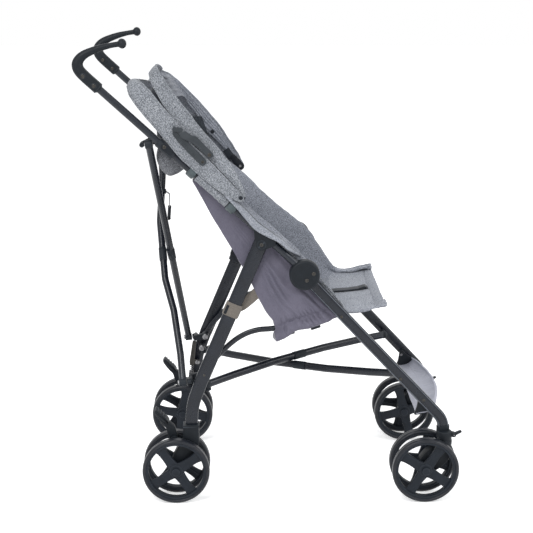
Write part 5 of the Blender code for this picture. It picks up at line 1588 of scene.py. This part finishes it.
def make_hood_rear():
    form = Form("hood_rear_cloth")
    line = hood_line(HOOD_REAR_REACH - 0.002, HOOD_REAR_Y + 0.0006, 0.060, -0.0085, 0.0042)
    total = len(line)
    grid = hood_grid(line, lambda e, y: between(e, REAR_LOW), rear_high, 44, 0.0008, rear_shift)

    def height(u, v, p):
        slow = 0.0012 * soft_noise(p, 17, 3.1) + 0.0008 * soft_noise(p, 42, 1.7)
        top = step_up(min(u, 1 - u), 0.28, 0.40)
        slow += top * 0.0050 * soft_noise(p, 13, 7.7)
        seams = -0.0010 * (stitch_line(v, SEAM_AT) + stitch_line(v, 1 - SEAM_AT))
        pucker = 0.0005 * math.sin(u * total * 0.9) * (bump_at(v, SEAM_AT, 0.06)
                                                      + bump_at(v, 1 - SEAM_AT, 0.06))
        return slow + seams + pucker

    grid = folded(grid, HOOD_ALONG, height)
    # the band's inside takes the darker copy of the cloth: painted shade
    area = add_cloth(form, grid, HOOD_ALONG, HEATHER, HEATHER_SHADED,
                     lambda u, v: BAND_THICK + 0.0012 * hem(v, 0.07), seam_patch(SEAM_AT))
    band_stitches(form, grid, (2, 42))
    for hand in (RIGHT, LEFT):
        # a dark snap at the tip, the arm inside the cloth, and the front arm's peg
        snap = side(HOOD_PIVOT, hand * (HOOD_REAR_Y + 0.0018))
        profile = [(0.0046, 0), (0.0046, 0.0006), (0.0040, 0.0013), (0.0022, 0.0015), (0, 0.0009)]
        lathe(form, snap, Y_WAY * hand, profile, PLASTIC, 28)
        inner = hand * (HOOD_FRONT_Y - 0.0075)
        strap(form, [(HOOD_PIVOT, 0.0105), ((0.1290, 0.7160), 0.0072)],
              inner - hand * 0.0016, inner + hand * 0.0016, GLOSS, 0.0008)
        slab(form, [(0.1190, 0.7090), (0.1335, 0.7190), (0.1185, 0.7400), (0.1045, 0.7300)],
             inner - hand * 0.0015, inner + hand * 0.0015, GLOSS, 0.0006)
        rivet(form, side(HOOD_PIVOT, inner - hand * 0.0016), Y_WAY * -hand, STEEL, 0.0034, 0.0010)
        y_cylinder(form, STAY_REAR, hand * HOOD_REAR_Y, hand * (STAY_Y + STAY_T / 2), 0.0020,
                   STEEL)
    item = form.done("right_frame", ["hood_rear"], 50)
    crumple(item, HOOD_REAR_Y)


COLLAR_R = 0.0128
SLEEVE_R = PUSH_R + 0.0024


def make_tube_collars():
    """Plastic collars round the push tubes, and the seat cloth's sleeve between them."""
    for hand in (RIGHT, LEFT):
        word = WORDS[hand]
        along = tube_run(hand)
        form = Form(word + "_tube_collars")
        for x, long in ((0.0440, 0.0185), (0.1270, 0.0205)):
            centre = tube_point(tube_share(x), hand)
            start, end = centre - along * long / 2, centre + along * long / 2
            path = [start.lerp(end, share) for share in (0.0, 0.12, 0.5, 0.88, 1.0)]
            tube(form, path, COLLAR_R, COLLAR_R, CLIP_GREY, 44, None, 0.85, 0.0026)
        form.done(word + "_frame", [])
        form = Form(word + "_tube_sleeve_cloth")
        high, low = tube_share(0.0540), tube_share(0.1180)
        wide = Y_WAY.cross(along).normalized()
        rows = 44
        rings = []
        for i in range(rows + 1):
            centre = tube_point(high + (low - high) * i / rows, hand)
            ring = []
            for t in turns(48):
                way = math.cos(t) * wide + math.sin(t) * Y_WAY
                p = centre + way * SLEEVE_R
                swell = 0.0009 * soft_noise(p, 70, 2.0) + 0.0005 * math.sin(i * 0.9 + 2 * t)
                ring.append(p + way * swell)
            rings.append(ring)
        form.skin(rings, HEATHER)
        item = form.done(word + "_frame", [], 60)


def front_low(e, y):
    near = between(e, FRONT_LOW)
    far = between(e, FAR_HIGH) - 0.020 * step_up(e, 0.0, 0.10) - 0.024 * step_up(e, 0.11, 0.17)
    return near + (far - near) * step_up(y, -0.16, 0.20)


def front_high(e, y):
    near, far = between(e, FRONT_HIGH), between(e, FAR_HIGH)
    return near + (far - near) * step_up(y, -0.16, 0.20)


def front_shift(e, y, share):
    # the top sinks between the two sides, and its near corner is drawn in below
    top = step_up(e, 0.24, 0.32)
    return -top * (0.0190 * step_up(y, -0.205, -0.02) + 0.0010 * (1 - share) ** 2)


def make_hood_front():
    form = Form("hood_front_cloth")
    line = hood_line(HOOD_FRONT_REACH + 0.0085, HOOD_FRONT_Y, 0.046, -0.006, 0.0042)
    grid = hood_grid(line, front_low, front_high, 40, 0.0014, front_shift)
    total = len(line)

    def height(u, v, p):
        slow = 0.0012 * soft_noise(p, 19, 5.3) + 0.0007 * soft_noise(p, 47, 2.2)
        top = step_up(min(u, 1 - u), 0.26, 0.38)
        slow *= 1 - 0.75 * top
        seams = -0.0010 * (stitch_line(v, 0.10) + stitch_line(v, 0.90))
        pucker = 0.0005 * math.sin(u * total * 0.8) * bump_at(v, 0.90, 0.08)
        return slow + seams + pucker

    grid = folded(grid, HOOD_ALONG, height)
    # the band's inside takes the darker copy of the cloth: painted shade
    area = add_cloth(form, grid, HOOD_ALONG, HEATHER, HEATHER_SHADED,
                     lambda u, v: BAND_THICK + 0.0014 * hem(v, 0.09), seam_patch(0.10))
    band_stitches(form, grid, (2, 38))
    for hand in (RIGHT, LEFT):
        layer = STAY_Y + STAY_T / 2 + LAYER
        y_cylinder(form, STAY_FRONT, hand * HOOD_FRONT_Y, hand * (layer - 0.0003), 0.0045, PLASTIC)
        snap = at(0.0798, hand * (HOOD_FRONT_Y - 0.0125), 0.7790)
        profile = [(0.0050, -0.0080), (0.0050, 0.0008), (0.0042, 0.0016), (0.0024, 0.0017),
                   (0, 0.0009)]
        lathe(form, snap, Y_WAY * -hand, profile, PLASTIC, 28)
    item = form.done("hood", ["hood_front"], 50)
    crumple(item, HOOD_FRONT_Y)


def fan_shift(e, y, share):
    band = (1 - share) * rear_shift(e, y, 0.0) + share * front_shift(e, y, 1.0)
    return band - 0.010 * (1 - share) * step_up(e, 0.22, 0.30)


def make_hood_fan():
    form = Form("hood_pleats_cloth")
    half = HOOD_FRONT_Y - 0.0062
    line = hood_line(HOOD_FRONT_REACH - 0.006, half, 0.058, 0.012, 0.0048)
    grid = hood_grid(line, lambda e, y: between(e, REAR_HIGH) - 0.006,
                     lambda e, y: front_high(e, y) - 0.0035, 60, 0.0, fan_shift)

    def height(u, v, p):
        # soft pleats run with the bands and die out towards the pivots
        grow = step_up(min(u, 1 - u), 0.02, 0.14)
        wander = 0.06 * soft_noise(p, 9, 4.0)
        deep = 0.0
        for centre, size in ((0.20, 0.0100), (0.47, 0.0070), (0.66, 0.0045), (0.84, 0.0060)):
            deep += size * bump_at(v + wander, centre, 0.060)
        deep *= 1 - 0.72 * step_up(u, 0.52, 0.66)
        tucks = 0.0026 * soft_noise(p, 22, 8.0) + 0.0009 * soft_noise(p, 60, 6.0)
        return -(deep + 0.0024) * grow + tucks * grow

    def patch(u, v):
        # the gap between the near bands is painted dark: painted shade of the hood's inside
        return SHADE_CHARCOAL if u < 0.37 and v < 0.30 else None

    grid = folded(grid, HOOD_ALONG, height)
    # the pleats take the darker copy of the cloth on both faces: painted shade
    area = add_cloth(form, grid, HOOD_ALONG, HEATHER_SHADED, HEATHER_SHADED, 0.0018, patch)
    # a dark panel inside the far side: painted shade of the hood's inside
    panel = [(0.0226, 0.8161), (0.0547, 0.8161), (0.0602, 0.7992), (0.0695, 0.7720),
             (0.0440, 0.7900)]
    slab(form, soften(panel, 0.002, 3), 0.1925, 0.1955, SHADE_CHARCOAL, 0.0006)
    item = form.done("right_frame", ["hood_fan"], 60)
    crumple(item, HOOD_FRONT_Y)


# The seat.

SKIRT_REAR = [(0.040, 0.728), (0.0590, 0.6923), (0.0800, 0.6528), (0.1055, 0.6086),
              (0.1275, 0.5720), (0.1515, 0.5290), (0.1769, 0.4805), (0.1988, 0.4395),
              (0.2098, 0.4234), (0.2187, 0.4108), (0.2222, 0.3889), (0.2258, 0.3655)]
SKIRT_FRONT = [(0.052, 0.733), (0.095, 0.694), (0.150, 0.644), (0.222, 0.572), (0.262, 0.530),
               (0.300, 0.486), (0.336, 0.444), (0.372, 0.422)]
SKIRT_Y = 0.1726


def chain_at(points, share):
    """The place at a share of the points' line, by length."""
    line = [Vector((p[0], 0, p[1])) for p in points]
    lengths = [0.0]
    for a, b in zip(line, line[1:]):
        lengths.append(lengths[-1] + (b - a).length)
    target = share * lengths[-1]
    for i in range(1, len(line)):
        if lengths[i] >= target - 1e-9:
            t = (target - lengths[i - 1]) / (lengths[i] - lengths[i - 1])
            return line[i - 1].lerp(line[i], t)
    return line[-1]


def chain_share(points, s):
    """The place at a share of a smooth line through the points, by their count."""
    last = len(points) - 1
    i = int(min(last - 1e-6, s * last))
    t = min(last - 1e-6, s * last) - i
    four = (points[max(i - 1, 0)], points[i], points[i + 1], points[min(i + 2, last)])
    return tuple(smooth_step(*values, t) for values in zip(*four))


def smooth_chain(points):
    line = spline([Vector((p[0], 0, p[1])) for p in points], 8)
    return [(p.x, p.z) for p in line]


REAR_CHAIN = smooth_chain(SKIRT_REAR)
FRONT_CHAIN = smooth_chain(SKIRT_FRONT)


def to_segment(p, a, b):
    ab = Vector((b[0] - a[0], b[1] - a[1]))
    ap = Vector((p[0] - a[0], p[1] - a[1]))
    t = min(1.0, max(0.0, ap.dot(ab) / ab.length_squared))
    return (ap - ab * t).length


def free_of_legs(x, z):
    """1 where the wall may swell outward, 0 behind the legs and the hub."""
    rear = to_segment((x, z), REAR_PIVOT, LINK_REAR)
    front = to_segment((x, z), HUB_RIVET, LINK_FRONT)
    hub_far = math.dist((x, z), HUB_C)
    return (step_up(rear, 0.019, 0.042) * step_up(front, 0.015, 0.034)
            * step_up(hub_far, 0.036, 0.056))


def wall_grid(hand, rows, cols):
    """A wall that turns in towards the seat's back along its rear edge."""
    bend_steps = 7
    grid = []
    for i in range(rows + 1):
        v = 0.015 + 0.985 * i / rows
        rear, front = chain_at(REAR_CHAIN, v), chain_at(FRONT_CHAIN, v)
        run = front - rear
        inward = run.normalized()
        r = min(0.013, run.length * 0.4)
        row = []
        for k in range(bend_steps):
            bend = r * (1 - math.sin(math.pi / 2 * k / bend_steps))
            p = rear + inward * bend
            row.append(at(p.x, hand * (SKIRT_Y - bend), p.z))
        for k in range(cols + 1):
            u = k / cols
            p = (rear + inward * r).lerp(front, u)
            sag = (0.0070 * bump_at(u, 0.24, 0.17) + 0.0020 * u) * step_up(v, 0.80, 1.0)
            row.append(at(p.x, hand * SKIRT_Y, p.z + sag))
        grid.append(row)
    return grid


def skirt_wall(form, hand):
    """One side wall, gathered by an elastic above its hem. Its area is returned."""
    grid = wall_grid(hand, 92, 104)
    cols = len(grid[0]) - 1

    def height(v, u, p):
        x, z = p[0] - REAR_AXLE_X, p[2]
        free = free_of_legs(x, z)
        low = step_up(v, 0.25, 1.0)
        wander = soft_noise((v * 1.3, hand, u * 1.6), 1.7, 2.5)
        ridge = math.sin(u * 15 + wander * 4.5 + v * 2.2)
        second = math.sin(u * 33 + wander * 8 + 1.3 - v * 3.0) * step_up(v, 0.5, 0.95)
        folds = (0.0030 * abs(ridge) ** 1.6 - 0.0010) * low + 0.0011 * second
        folds += 0.0016 * soft_noise(p, 22, 4.4 + hand) + 0.0006 * soft_noise(p, 60, 1.1)
        # below the elastic the cloth stands out in an uneven roll
        roll = math.sin(math.pi * min(1.0, max(0.0, (v - 0.932) / 0.076)))
        pinch = math.sin(u * 64 + 3.5 * math.sin(u * 11) + 2 * wander)
        frill = roll * (0.0042 + 0.0010 * pinch + 0.0030 * soft_noise(p, 75, 7.0))
        frill += 0.0016 * pinch * bump_at(v, 0.946, 0.012)
        elastic = -0.0044 * bump_at(v, 0.930, 0.009) * (0.55 + 0.45 * free)
        near_tuck = -0.0016 * bump_at(v, 0.904, 0.020) * max(0.0, pinch) * low
        total = free * 0.0050 * low + elastic
        total += (folds + frill + near_tuck) * (0.42 + 1.2 * free)
        return max(-0.0040, min(total, 0.0016 + 0.0125 * free))

    away = Y_WAY * hand
    grid = folded(grid, away, height)
    area = add_cloth(form, grid, away, LINING, LINING,
                     lambda v, u: 0.0017 + 0.0014 * step_up(v, 0.965, 0.985))
    # the elastic's two rows of stitching
    for row in (84, 86):
        path = [Vector(grid[row][j]) + away * 0.0012 for j in range(8, cols)]
        stitches(form, path, away, LINING, 0.0050, 0.0030, 0.0004)
    return area


def skirt_back(form):
    """The back of the seat, which hangs slack between the two walls."""
    rows, cols = 70, 96
    half = SKIRT_Y - 0.0125
    grid = []
    for i in range(rows + 1):
        p = chain_at(REAR_CHAIN, 0.015 + (0.845 - 0.015) * i / rows)
        grid.append([at(p.x, -half + 2 * half * k / cols, p.z) for k in range(cols + 1)])

    def height(v, u, p):
        belly = math.sin(math.pi * u) ** 0.8
        slack = 0.0060 * belly * step_up(v, 0.05, 0.35)
        ripple = 0.0026 * math.sin(v * 31 + 4 * soft_noise(p, 6, 3.0)) * belly
        ripple += 0.0022 * soft_noise(p, 21, 5.5) + 0.0010 * soft_noise(p, 60, 2.0)
        seam = -0.0018 * (bump_at(u, 0.33, 0.006) + bump_at(u, 0.67, 0.006))
        return slack + (ripple + seam) * step_up(min(u, 1 - u), 0.0, 0.06)

    outward = (-0.9, 0, -0.4)
    grid = folded(grid, outward, height)
    return add_cloth(form, grid, outward, LINING, LINING,
                     lambda v, u: 0.0018 + 0.0014 * step_up(v, 0.95, 0.97))


def make_skirt():
    form = Form("seat_skirt_cloth")
    area = sum(skirt_wall(form, hand) for hand in (RIGHT, LEFT)) + skirt_back(form)
    # two black tabs below the near hem
    for x, z, lean in ((0.2430, 0.3792, 0.30), (0.3000, 0.3925, 0.32)):
        run = Vector((math.cos(lean), 0, math.sin(lean)))
        start = at(x, -0.1745, z)
        tube(form, [start, start + run * 0.011, start + run * 0.022], 0.0042, 0.0011, BLACK_WEB,
             16, Y_WAY, 0.5, 0.0005)
    item = form.done("right_frame", ["seat_skirt"], 60)
    crumple(item, 0.176)


SEAT_NEAR = [(0.046, 0.757), (0.100, 0.718), (0.153, 0.6745), (0.191, 0.638), (0.240, 0.595),
             (0.272, 0.563), (0.299, 0.530), (0.325, 0.4955), (0.350, 0.4630), (0.374, 0.4320),
             (0.410, 0.4265), (0.440, 0.4345), (0.469, 0.4460)]
SEAT_FAR = [(0.046, 0.757), (0.100, 0.718), (0.153, 0.6745), (0.191, 0.638), (0.240, 0.595),
            (0.274, 0.567), (0.307, 0.543), (0.333, 0.5045), (0.358, 0.467), (0.3785, 0.4455),
            (0.413, 0.4440), (0.444, 0.4525), (0.4655, 0.4545)]
SEAT_LOW = [(0.058, 0.728), (0.098, 0.652), (0.134, 0.585), (0.160, 0.542), (0.196, 0.488),
            (0.222, 0.446), (0.252, 0.423), (0.290, 0.415), (0.325, 0.4200), (0.357, 0.4265),
            (0.397, 0.4310), (0.431, 0.4350), (0.466, 0.4425)]
SEAT_EDGE_Y = [0.176, 0.184, 0.187, 0.188, 0.187, 0.183, 0.179, 0.1755, 0.172, 0.164, 0.156,
               0.152, 0.150]
SEAT_LOW_Y = 0.140


def seat_row(s):
    last = len(SEAT_NEAR) - 1
    low = chain_share(SEAT_LOW, s)
    edge_y = float(np.interp(s * last, range(last + 1), SEAT_EDGE_Y))
    low_y = SEAT_LOW_Y + 0.004 * step_up(s, 0.7, 0.9)
    over = 0.010 * step_up(s, 0.10, 0.20) * step_up(0.60 - s, 0.0, 0.16)
    halves = []
    for edge, hand in ((chain_share(SEAT_NEAR, s), RIGHT), (chain_share(SEAT_FAR, s), LEFT)):
        deep = Vector((low[0] - edge[0], low[1] - edge[1]))
        size = max(deep.length, 0.01)
        marks = [(edge_y + 0.0012, over / size), (edge_y + 0.0018, 0.35 * over / size),
                 (edge_y, -0.02), (edge_y - 0.012, 0.02), (low_y + 0.016, 0.30),
                 (low_y + 0.004, 0.62), (low_y - 0.014, 0.88), (low_y - 0.050, 0.99),
                 (0.045, 1.02)]
        halves.append([Vector((hand * y, edge[0] + deep.x * t, edge[1] + deep.y * t))
                       for y, t in marks])
    whole = halves[0] + list(reversed(halves[1]))
    return [at(p.y, p.x, p.z) for p in spline(whole, 8)]


def make_seat():
    form = Form("seat_sling_cloth")
    rows = 170
    grid = [seat_row(i / rows) for i in range(rows + 1)]

    def height(s, t, p):
        side_way = step_up(abs(2 * t - 1), 0.35, 0.75)
        soft = 0.0030 * soft_noise(p, 14, 6.1) + 0.0014 * soft_noise(p, 33, 2.8)
        fine = 0.0006 * soft_noise(p, 95, 4.2)
        # puckers where the wall turns over its edge
        pucker = 0.0004 * math.sin(s * 150 + 5 * soft_noise(p, 12, 1.0))
        pucker *= bump_at(abs(2 * t - 1), 0.80, 0.08) * step_up(s, 0.1, 0.3)
        # the fold where the back meets the seat, and two sewn lines down the back
        crease = -0.0050 * bump_at(s, 0.505, 0.020) * (1 - 0.6 * side_way)
        sewn = -0.0016 * (bump_at(t, 0.345, 0.004) + bump_at(t, 0.655, 0.004))
        sewn *= step_up(s, 0.05, 0.1)
        flap = step_up(s, 0.80, 0.86)
        seam = -0.0016 * bump_at(s, 0.945, 0.005)
        fall = 0.0016 * math.sin(t * 60 + 2.0) * step_up(s, 0.93, 1.0)
        return soft * (0.4 + 0.6 * side_way) + fine + pucker + crease + sewn + seam + fall * flap

    grid = folded(grid, (0.6, 0, 0.8), height)

    def thick(s, t):
        edge = step_up(0.05 - min(t, 1 - t), 0.0, 0.03)
        roll = step_up(s, 0.945, 0.975) * 0.0045
        top = step_up(0.06 - s, 0.0, 0.03) * 0.010
        return 0.0045 + 0.0010 * edge + roll + top

    def patch(s, t):
        # the flap in front takes the paler copy of the cloth: painted light
        return HEATHER_LIT if s > 0.752 else None

    # the seat's inside takes the darker copy of the cloth: painted shade
    add_cloth(form, grid, (0.6, 0, 0.8), HEATHER_SHADED, HEATHER, thick, patch)
    path = [Vector(p) + Z_WAY * 0.0026 for p in grid[161][14:-14]]
    stitches(form, path, Z_WAY, THREAD)
    item = form.done("right_frame", ["seat_sling"], 60)
    crumple(item, SEAT_HALF)


def strip_grid(hand, upper, lower, rows, cols, y_at):
    """A strip between two smooth lines. y_at gives its place across from the row and column
    shares."""
    grid = []
    for i in range(rows + 1):
        s = i / rows
        a, b = chain_share(upper, s), chain_share(lower, s)
        row = []
        for k in range(cols + 1):
            t = k / cols
            place = (a[0] + (b[0] - a[0]) * t, a[1] + (b[1] - a[1]) * t)
            row.append(side(place, hand * y_at(s, t)))
        grid.append(row)
    return grid


def make_flange():
    """The outer face of the seat's side, between its edge and the push tube, in the paler copy of
    the cloth: painted light.
    """
    for hand in (RIGHT, LEFT):
        form = Form(WORDS[hand] + "_seat_side_cloth")
        upper = [(0.096, 0.724), (0.128, 0.698), (0.153, 0.6765), (0.172, 0.6585), (0.191, 0.6400),
                 (0.214, 0.6205), (0.236, 0.6010), (0.256, 0.5810), (0.276, 0.5620)]
        lower = [(0.0905, 0.7187), (0.1182, 0.6910), (0.1395, 0.6677), (0.1553, 0.6484),
                 (0.1759, 0.6249), (0.2024, 0.6088), (0.2281, 0.5959), (0.2469, 0.5800),
                 (0.2735, 0.5610)]

        def y_at(s, t):
            over = step_up(s, 0.0, 0.12) * step_up(1 - s, 0.0, 0.14)
            return 0.1885 + 0.0265 * over * math.sin(math.pi / 2 * min(1.0, 1.25 * t))

        def height(s, t, p):
            return (0.0012 * soft_noise(p, 30, 3.3) - 0.0008 * bump_at(t, 0.22, 0.05)
                    + 0.0005 * math.sin(s * 90) * bump_at(t, 0.1, 0.2))

        def patch(s, t):
            if t < 0.34:
                # the strip by the seat's edge takes the darker copy of the cloth, painted shade,
                # beside a dark seam line
                return SEAM if t > 0.29 else HEATHER_SHADED
            return None

        away = Y_WAY * hand
        rows = 80
        grid = folded(strip_grid(hand, upper, lower, rows, 14, y_at), away, height)
        # the outer face takes the paler copy, painted light, and the back the darker copy, painted
        # shade
        area = add_cloth(form, grid, away, HEATHER_LIT, HEATHER_SHADED, 0.0026, patch)
        path = [Vector(grid[i][3]) + away * 0.0014 for i in range(3, rows - 3)]
        stitches(form, path, away, THREAD)
        item = form.done("right_frame", [], 60)
        crumple(item, SEAT_HALF)


def make_seat_edge():
    """The doubly sewn strip along the seat's edge, beside the front leg."""
    for hand in (RIGHT, LEFT):
        form = Form(WORDS[hand] + "_seat_edge_cloth")
        upper = [(0.3183, 0.5102), (0.3229, 0.5045), (0.3321, 0.4950), (0.3432, 0.4837),
                 (0.3563, 0.4666), (0.3703, 0.4475), (0.3727, 0.4380)]
        lower = [(0.3079, 0.5034), (0.3153, 0.4940), (0.3264, 0.4789), (0.3431, 0.4599),
                 (0.3561, 0.4447), (0.3673, 0.4304), (0.3710, 0.4275)]

        def height(s, t, p):
            sewn = bump_at(t, 0.30, 0.05) + bump_at(t, 0.72, 0.05)
            return 0.0006 * soft_noise(p, 60, 3.0) - 0.0006 * sewn

        def patch(s, t):
            return SEAM if abs(t - 0.30) < 0.05 or abs(t - 0.72) < 0.05 else None

        away = Y_WAY * hand
        grid = strip_grid(hand, upper, lower, 60, 22, lambda s, t: 0.1795 - 0.0042 * t)
        grid = folded(grid, away, height)
        # its back takes the darker copy of the cloth: painted shade
        area = add_cloth(form, grid, away, HEATHER, HEATHER_SHADED, 0.0020, patch)
        item = form.done("right_frame", [], 60)
        crumple(item, SEAT_HALF)


def make_crotch_strap():
    form = Form("crotch_strap_web")
    path = [(0.3540, 0.4325), (0.3680, 0.4345), (0.3820, 0.4352), (0.3960, 0.4362),
            (0.4120, 0.4385), (0.4370, 0.4405)]
    line = spline([side(p, 0.0) for p in path], 8)
    tube(form, line, 0.0125, 0.0014, BLACK_WEB, 28, Z_WAY, 0.45, 0.0006)
    # the sewn loop and its bar at the front end
    bar = (0.4350, 0.4425)
    cylinder(form, side(bar, -0.0140), side(bar, 0.0140), 0.0024, GLOSS, 0.0007, 20)
    loop = [side(p, 0.0) for p in ((0.4200, 0.4400), (0.4350, 0.4450), (0.4420, 0.4405))]
    tube(form, loop, 0.0118, 0.0010, BLACK_WEB, 20, Z_WAY, 0.45, 0.0005)
    item = form.done("right_frame", ["crotch_strap"], 50)
    crumple(item, SEAT_HALF)


def make_footrest():
    form = Form("footrest_cloth")
    half = LEG_IN - 0.0006
    rows, cols = 150, 64
    grid = []
    for i in range(rows + 1):
        share = -1 + 2 * i / rows
        y = half * share
        bulge = 1 - share * share
        front = 0.5745 + 0.0295 * bulge
        marks = [(0.5385, 0.1930), (0.5480, 0.1938), (0.5480 + (front - 0.548) * 0.55, 0.1965),
                 (front - 0.0040, 0.2022), (front + 0.0012, 0.2078), (front + 0.0004, 0.2112),
                 (front - 0.0032, 0.2122)]
        line = spline([at(x, y, z) for x, z in marks], 12)
        fine = spaced(line, 0.0006)
        grid.append([fine[round(k * (len(fine) - 1) / cols)] for k in range(cols + 1)])
    lines = [((-0.95, 0.10), (-0.45, 0.78)), ((-0.45, 0.78), (0.0, 0.15)),
             ((0.0, 0.15), (0.45, 0.78)), ((0.45, 0.78), (0.95, 0.10)),
             ((-0.45, 0.78), (-0.45, 0.10)), ((0.45, 0.78), (0.45, 0.10)),
             ((0.0, 0.15), (0.0, 0.78)), ((-0.95, 0.45), (0.95, 0.45))]

    def height(s, t, p):
        y = 2 * s - 1
        crease = max(bump_at(to_segment((y, t), a, b), 0.0, 0.017) for a, b in lines)
        panel = 0.0010 * math.sin(y * 9) * math.sin(t * 7)
        return (-0.0011 * crease + 0.0006 * bump_at(t, 0.06, 0.03) - 0.0008 * stitch_line(t, 0.80)
                + panel + 0.0009 * soft_noise(p, 40, 2.0))

    grid = folded(grid, (0.8, 0, -0.5), height)
    area = add_cloth(form, grid, (0.8, 0, -0.5), FOOT_CLOTH, FOOT_CLOTH, 0.0030)
    path = [Vector(grid[i][51]) + Vector((0.0013, 0, -0.0003)) for i in range(4, rows - 4)]
    stitches(form, path, Vector((0.95, 0, -0.3)), THREAD)
    for hand in (RIGHT, LEFT):
        # the black end pieces that hold the cloth to the legs
        y = hand * (half - 0.0045)
        outline = [(0.5330, 0.1880), (0.5560, 0.1905), (0.5740, 0.2030), (0.5760, 0.2130),
                   (0.5640, 0.2190), (0.5500, 0.2330), (0.5440, 0.2320), (0.5400, 0.2050)]
        slab(form, soften(outline, 0.006), y - 0.0035, y + 0.0035, PLASTIC, 0.0012)
        rivet(form, side((0.5480, 0.2210), y - hand * 0.0034), Y_WAY * -hand, STEEL, 0.0030,
              0.0010)
    item = form.done("right_front_leg", ["footrest"], 50)
    crumple(item, 0.1755)


def make_pouch():
    form = Form("rear_pouch_cloth")
    half = KNUCKLE_ARM_Y - KNUCKLE_ARM_T - 0.0022 - 0.0012
    outline = [(-0.0250, 0.7980), (-0.0320, 0.7870), (-0.0340, 0.7678), (-0.0263, 0.7462),
               (-0.0137, 0.7332), (-0.0030, 0.7290), (0.0120, 0.7331), (0.0250, 0.7440),
               (0.0330, 0.7520), (0.0230, 0.7640), (0.0070, 0.7790), (-0.0110, 0.7950)]
    loop = [Vector((p[0], 0, p[1])) for p in outline]
    closed = spline(loop + loop[:1], 8)[:-1]
    middle = Vector((0.0, 0, 0.7650))
    rings = []
    rows = 72
    for i in range(rows + 1):
        share = -1 + 2 * i / rows
        y = half * share
        end = 1 - abs(share) ** 26
        size = 0.55 + 0.45 * end ** 0.5
        ring = []
        for p in closed:
            q = middle + (p - middle) * size
            place = Vector((q.x, y, q.z))
            low = step_up(0.775 - q.z, 0.0, 0.035)
            sag = 0.0040 * math.cos(share * math.pi * 1.5) * low
            ripple = 0.0022 * soft_noise(place, 24, 3.0)
            ripple += 0.0012 * math.sin(y * 95 + 2 * q.x * 60)
            way = (p - middle).normalized()
            q = q + way * (ripple * (0.4 + 0.6 * low) + sag)
            ring.append(at(q.x, y, q.z))
        rings.append(ring)
    form.skin(rings, HEATHER_GREY)
    # the elastic top edge
    top = [at(-0.0235, half * (-0.97 + 1.94 * i / 60), 0.7960 + 0.0012 * math.sin(i * 1.9))
           for i in range(61)]
    tube(form, top, 0.0030, 0.0030, HEATHER_GREY, 14)
    item = form.done("right_frame", ["rear_pouch"], 60)
    crumple(item, half)


def leg_band(form, low, high, y, count, around, wider, thicker, flare, look):
    """Webbing round a rear leg. wider and thicker are what it adds there at its very end and
    what the rest adds to that."""
    start, end = side(low, y), side(high, y)
    run = (end - start).normalized()
    wide = Y_WAY.cross(run).normalized()
    thick = run.cross(wide).normalized()
    rings = []
    for k in range(count):
        share = k / (count - 1)
        edge = 0.35 if k in (0, count - 1) else 1.0
        half = REAR_LEG_W_TOP / 2 + wider[0] + wider[1] * edge
        rings.append(oval(start.lerp(end, share), wide, thick,
                          half + flare * math.sin(share * math.pi),
                          LEG_T / 2 + thicker[0] + thicker[1] * edge, around, 0.6))
    form.skin(rings, look)


def make_leg_strap():
    form = Form("leg_strap_web")
    y = -LEG_Y
    leg_band(form, (0.1212, 0.4255), (0.1330, 0.4533), y, 10, 56, (0.0012, 0.0012),
             (0.0010, 0.0014), 0.0004, WEBBING)
    # the tail that runs to the seat's side
    tail = [(0.1320, -0.1742, 0.4400), (0.1480, -0.1742, 0.4465), (0.1660, -0.1744, 0.4610),
            (0.1850, -0.1742, 0.4790)]
    line = spline([at(*p) for p in tail], 8)
    tube(form, line, 0.0118, 0.0009, WEBBING, 20, Y_WAY, 0.45, 0.0005)
    # a black slider at its rear edge
    slider = [(0.1074, 0.4337), (0.1132, 0.4313), (0.1214, 0.4507), (0.1156, 0.4533)]
    slab(form, soften(slider, 0.0014, 3), y - 0.0098, y + 0.0098, PLASTIC)
    item = form.done("right_rear_leg", ["leg_strap"], 45)
    crumple(item, 0.190, 0.28)


def make_far_buckle():
    form = Form("left_leg_buckle")
    y = LEG_Y
    leg_band(form, (0.1335, 0.4600), (0.1470, 0.4920), y, 8, 48, (0.0009, 0.0011),
             (0.0008, 0.0012), 0.0, BLACK_WEB)
    slider = [(0.1205, 0.4800), (0.1265, 0.4775), (0.1330, 0.4935), (0.1270, 0.4960)]
    slab(form, soften(slider, 0.0014, 3), y - 0.0098, y + 0.0098, GLOSS)
    form.done("left_rear_leg", [], 45)


def make_soft():
    make_hood_rear()
    make_hood_front()
    make_hood_fan()
    make_skirt()
    make_seat()
    make_flange()
    make_tube_collars()
    make_seat_edge()
    make_crotch_strap()
    make_footrest()
    make_pouch()
    make_leg_strap()
    make_far_buckle()


# Everything.


def write_sizes():
    bpy.context.view_layer.update()


add_camera()
add_world()
add_lights()
add_floor()
make_rigid()
make_soft()
write_sizes()
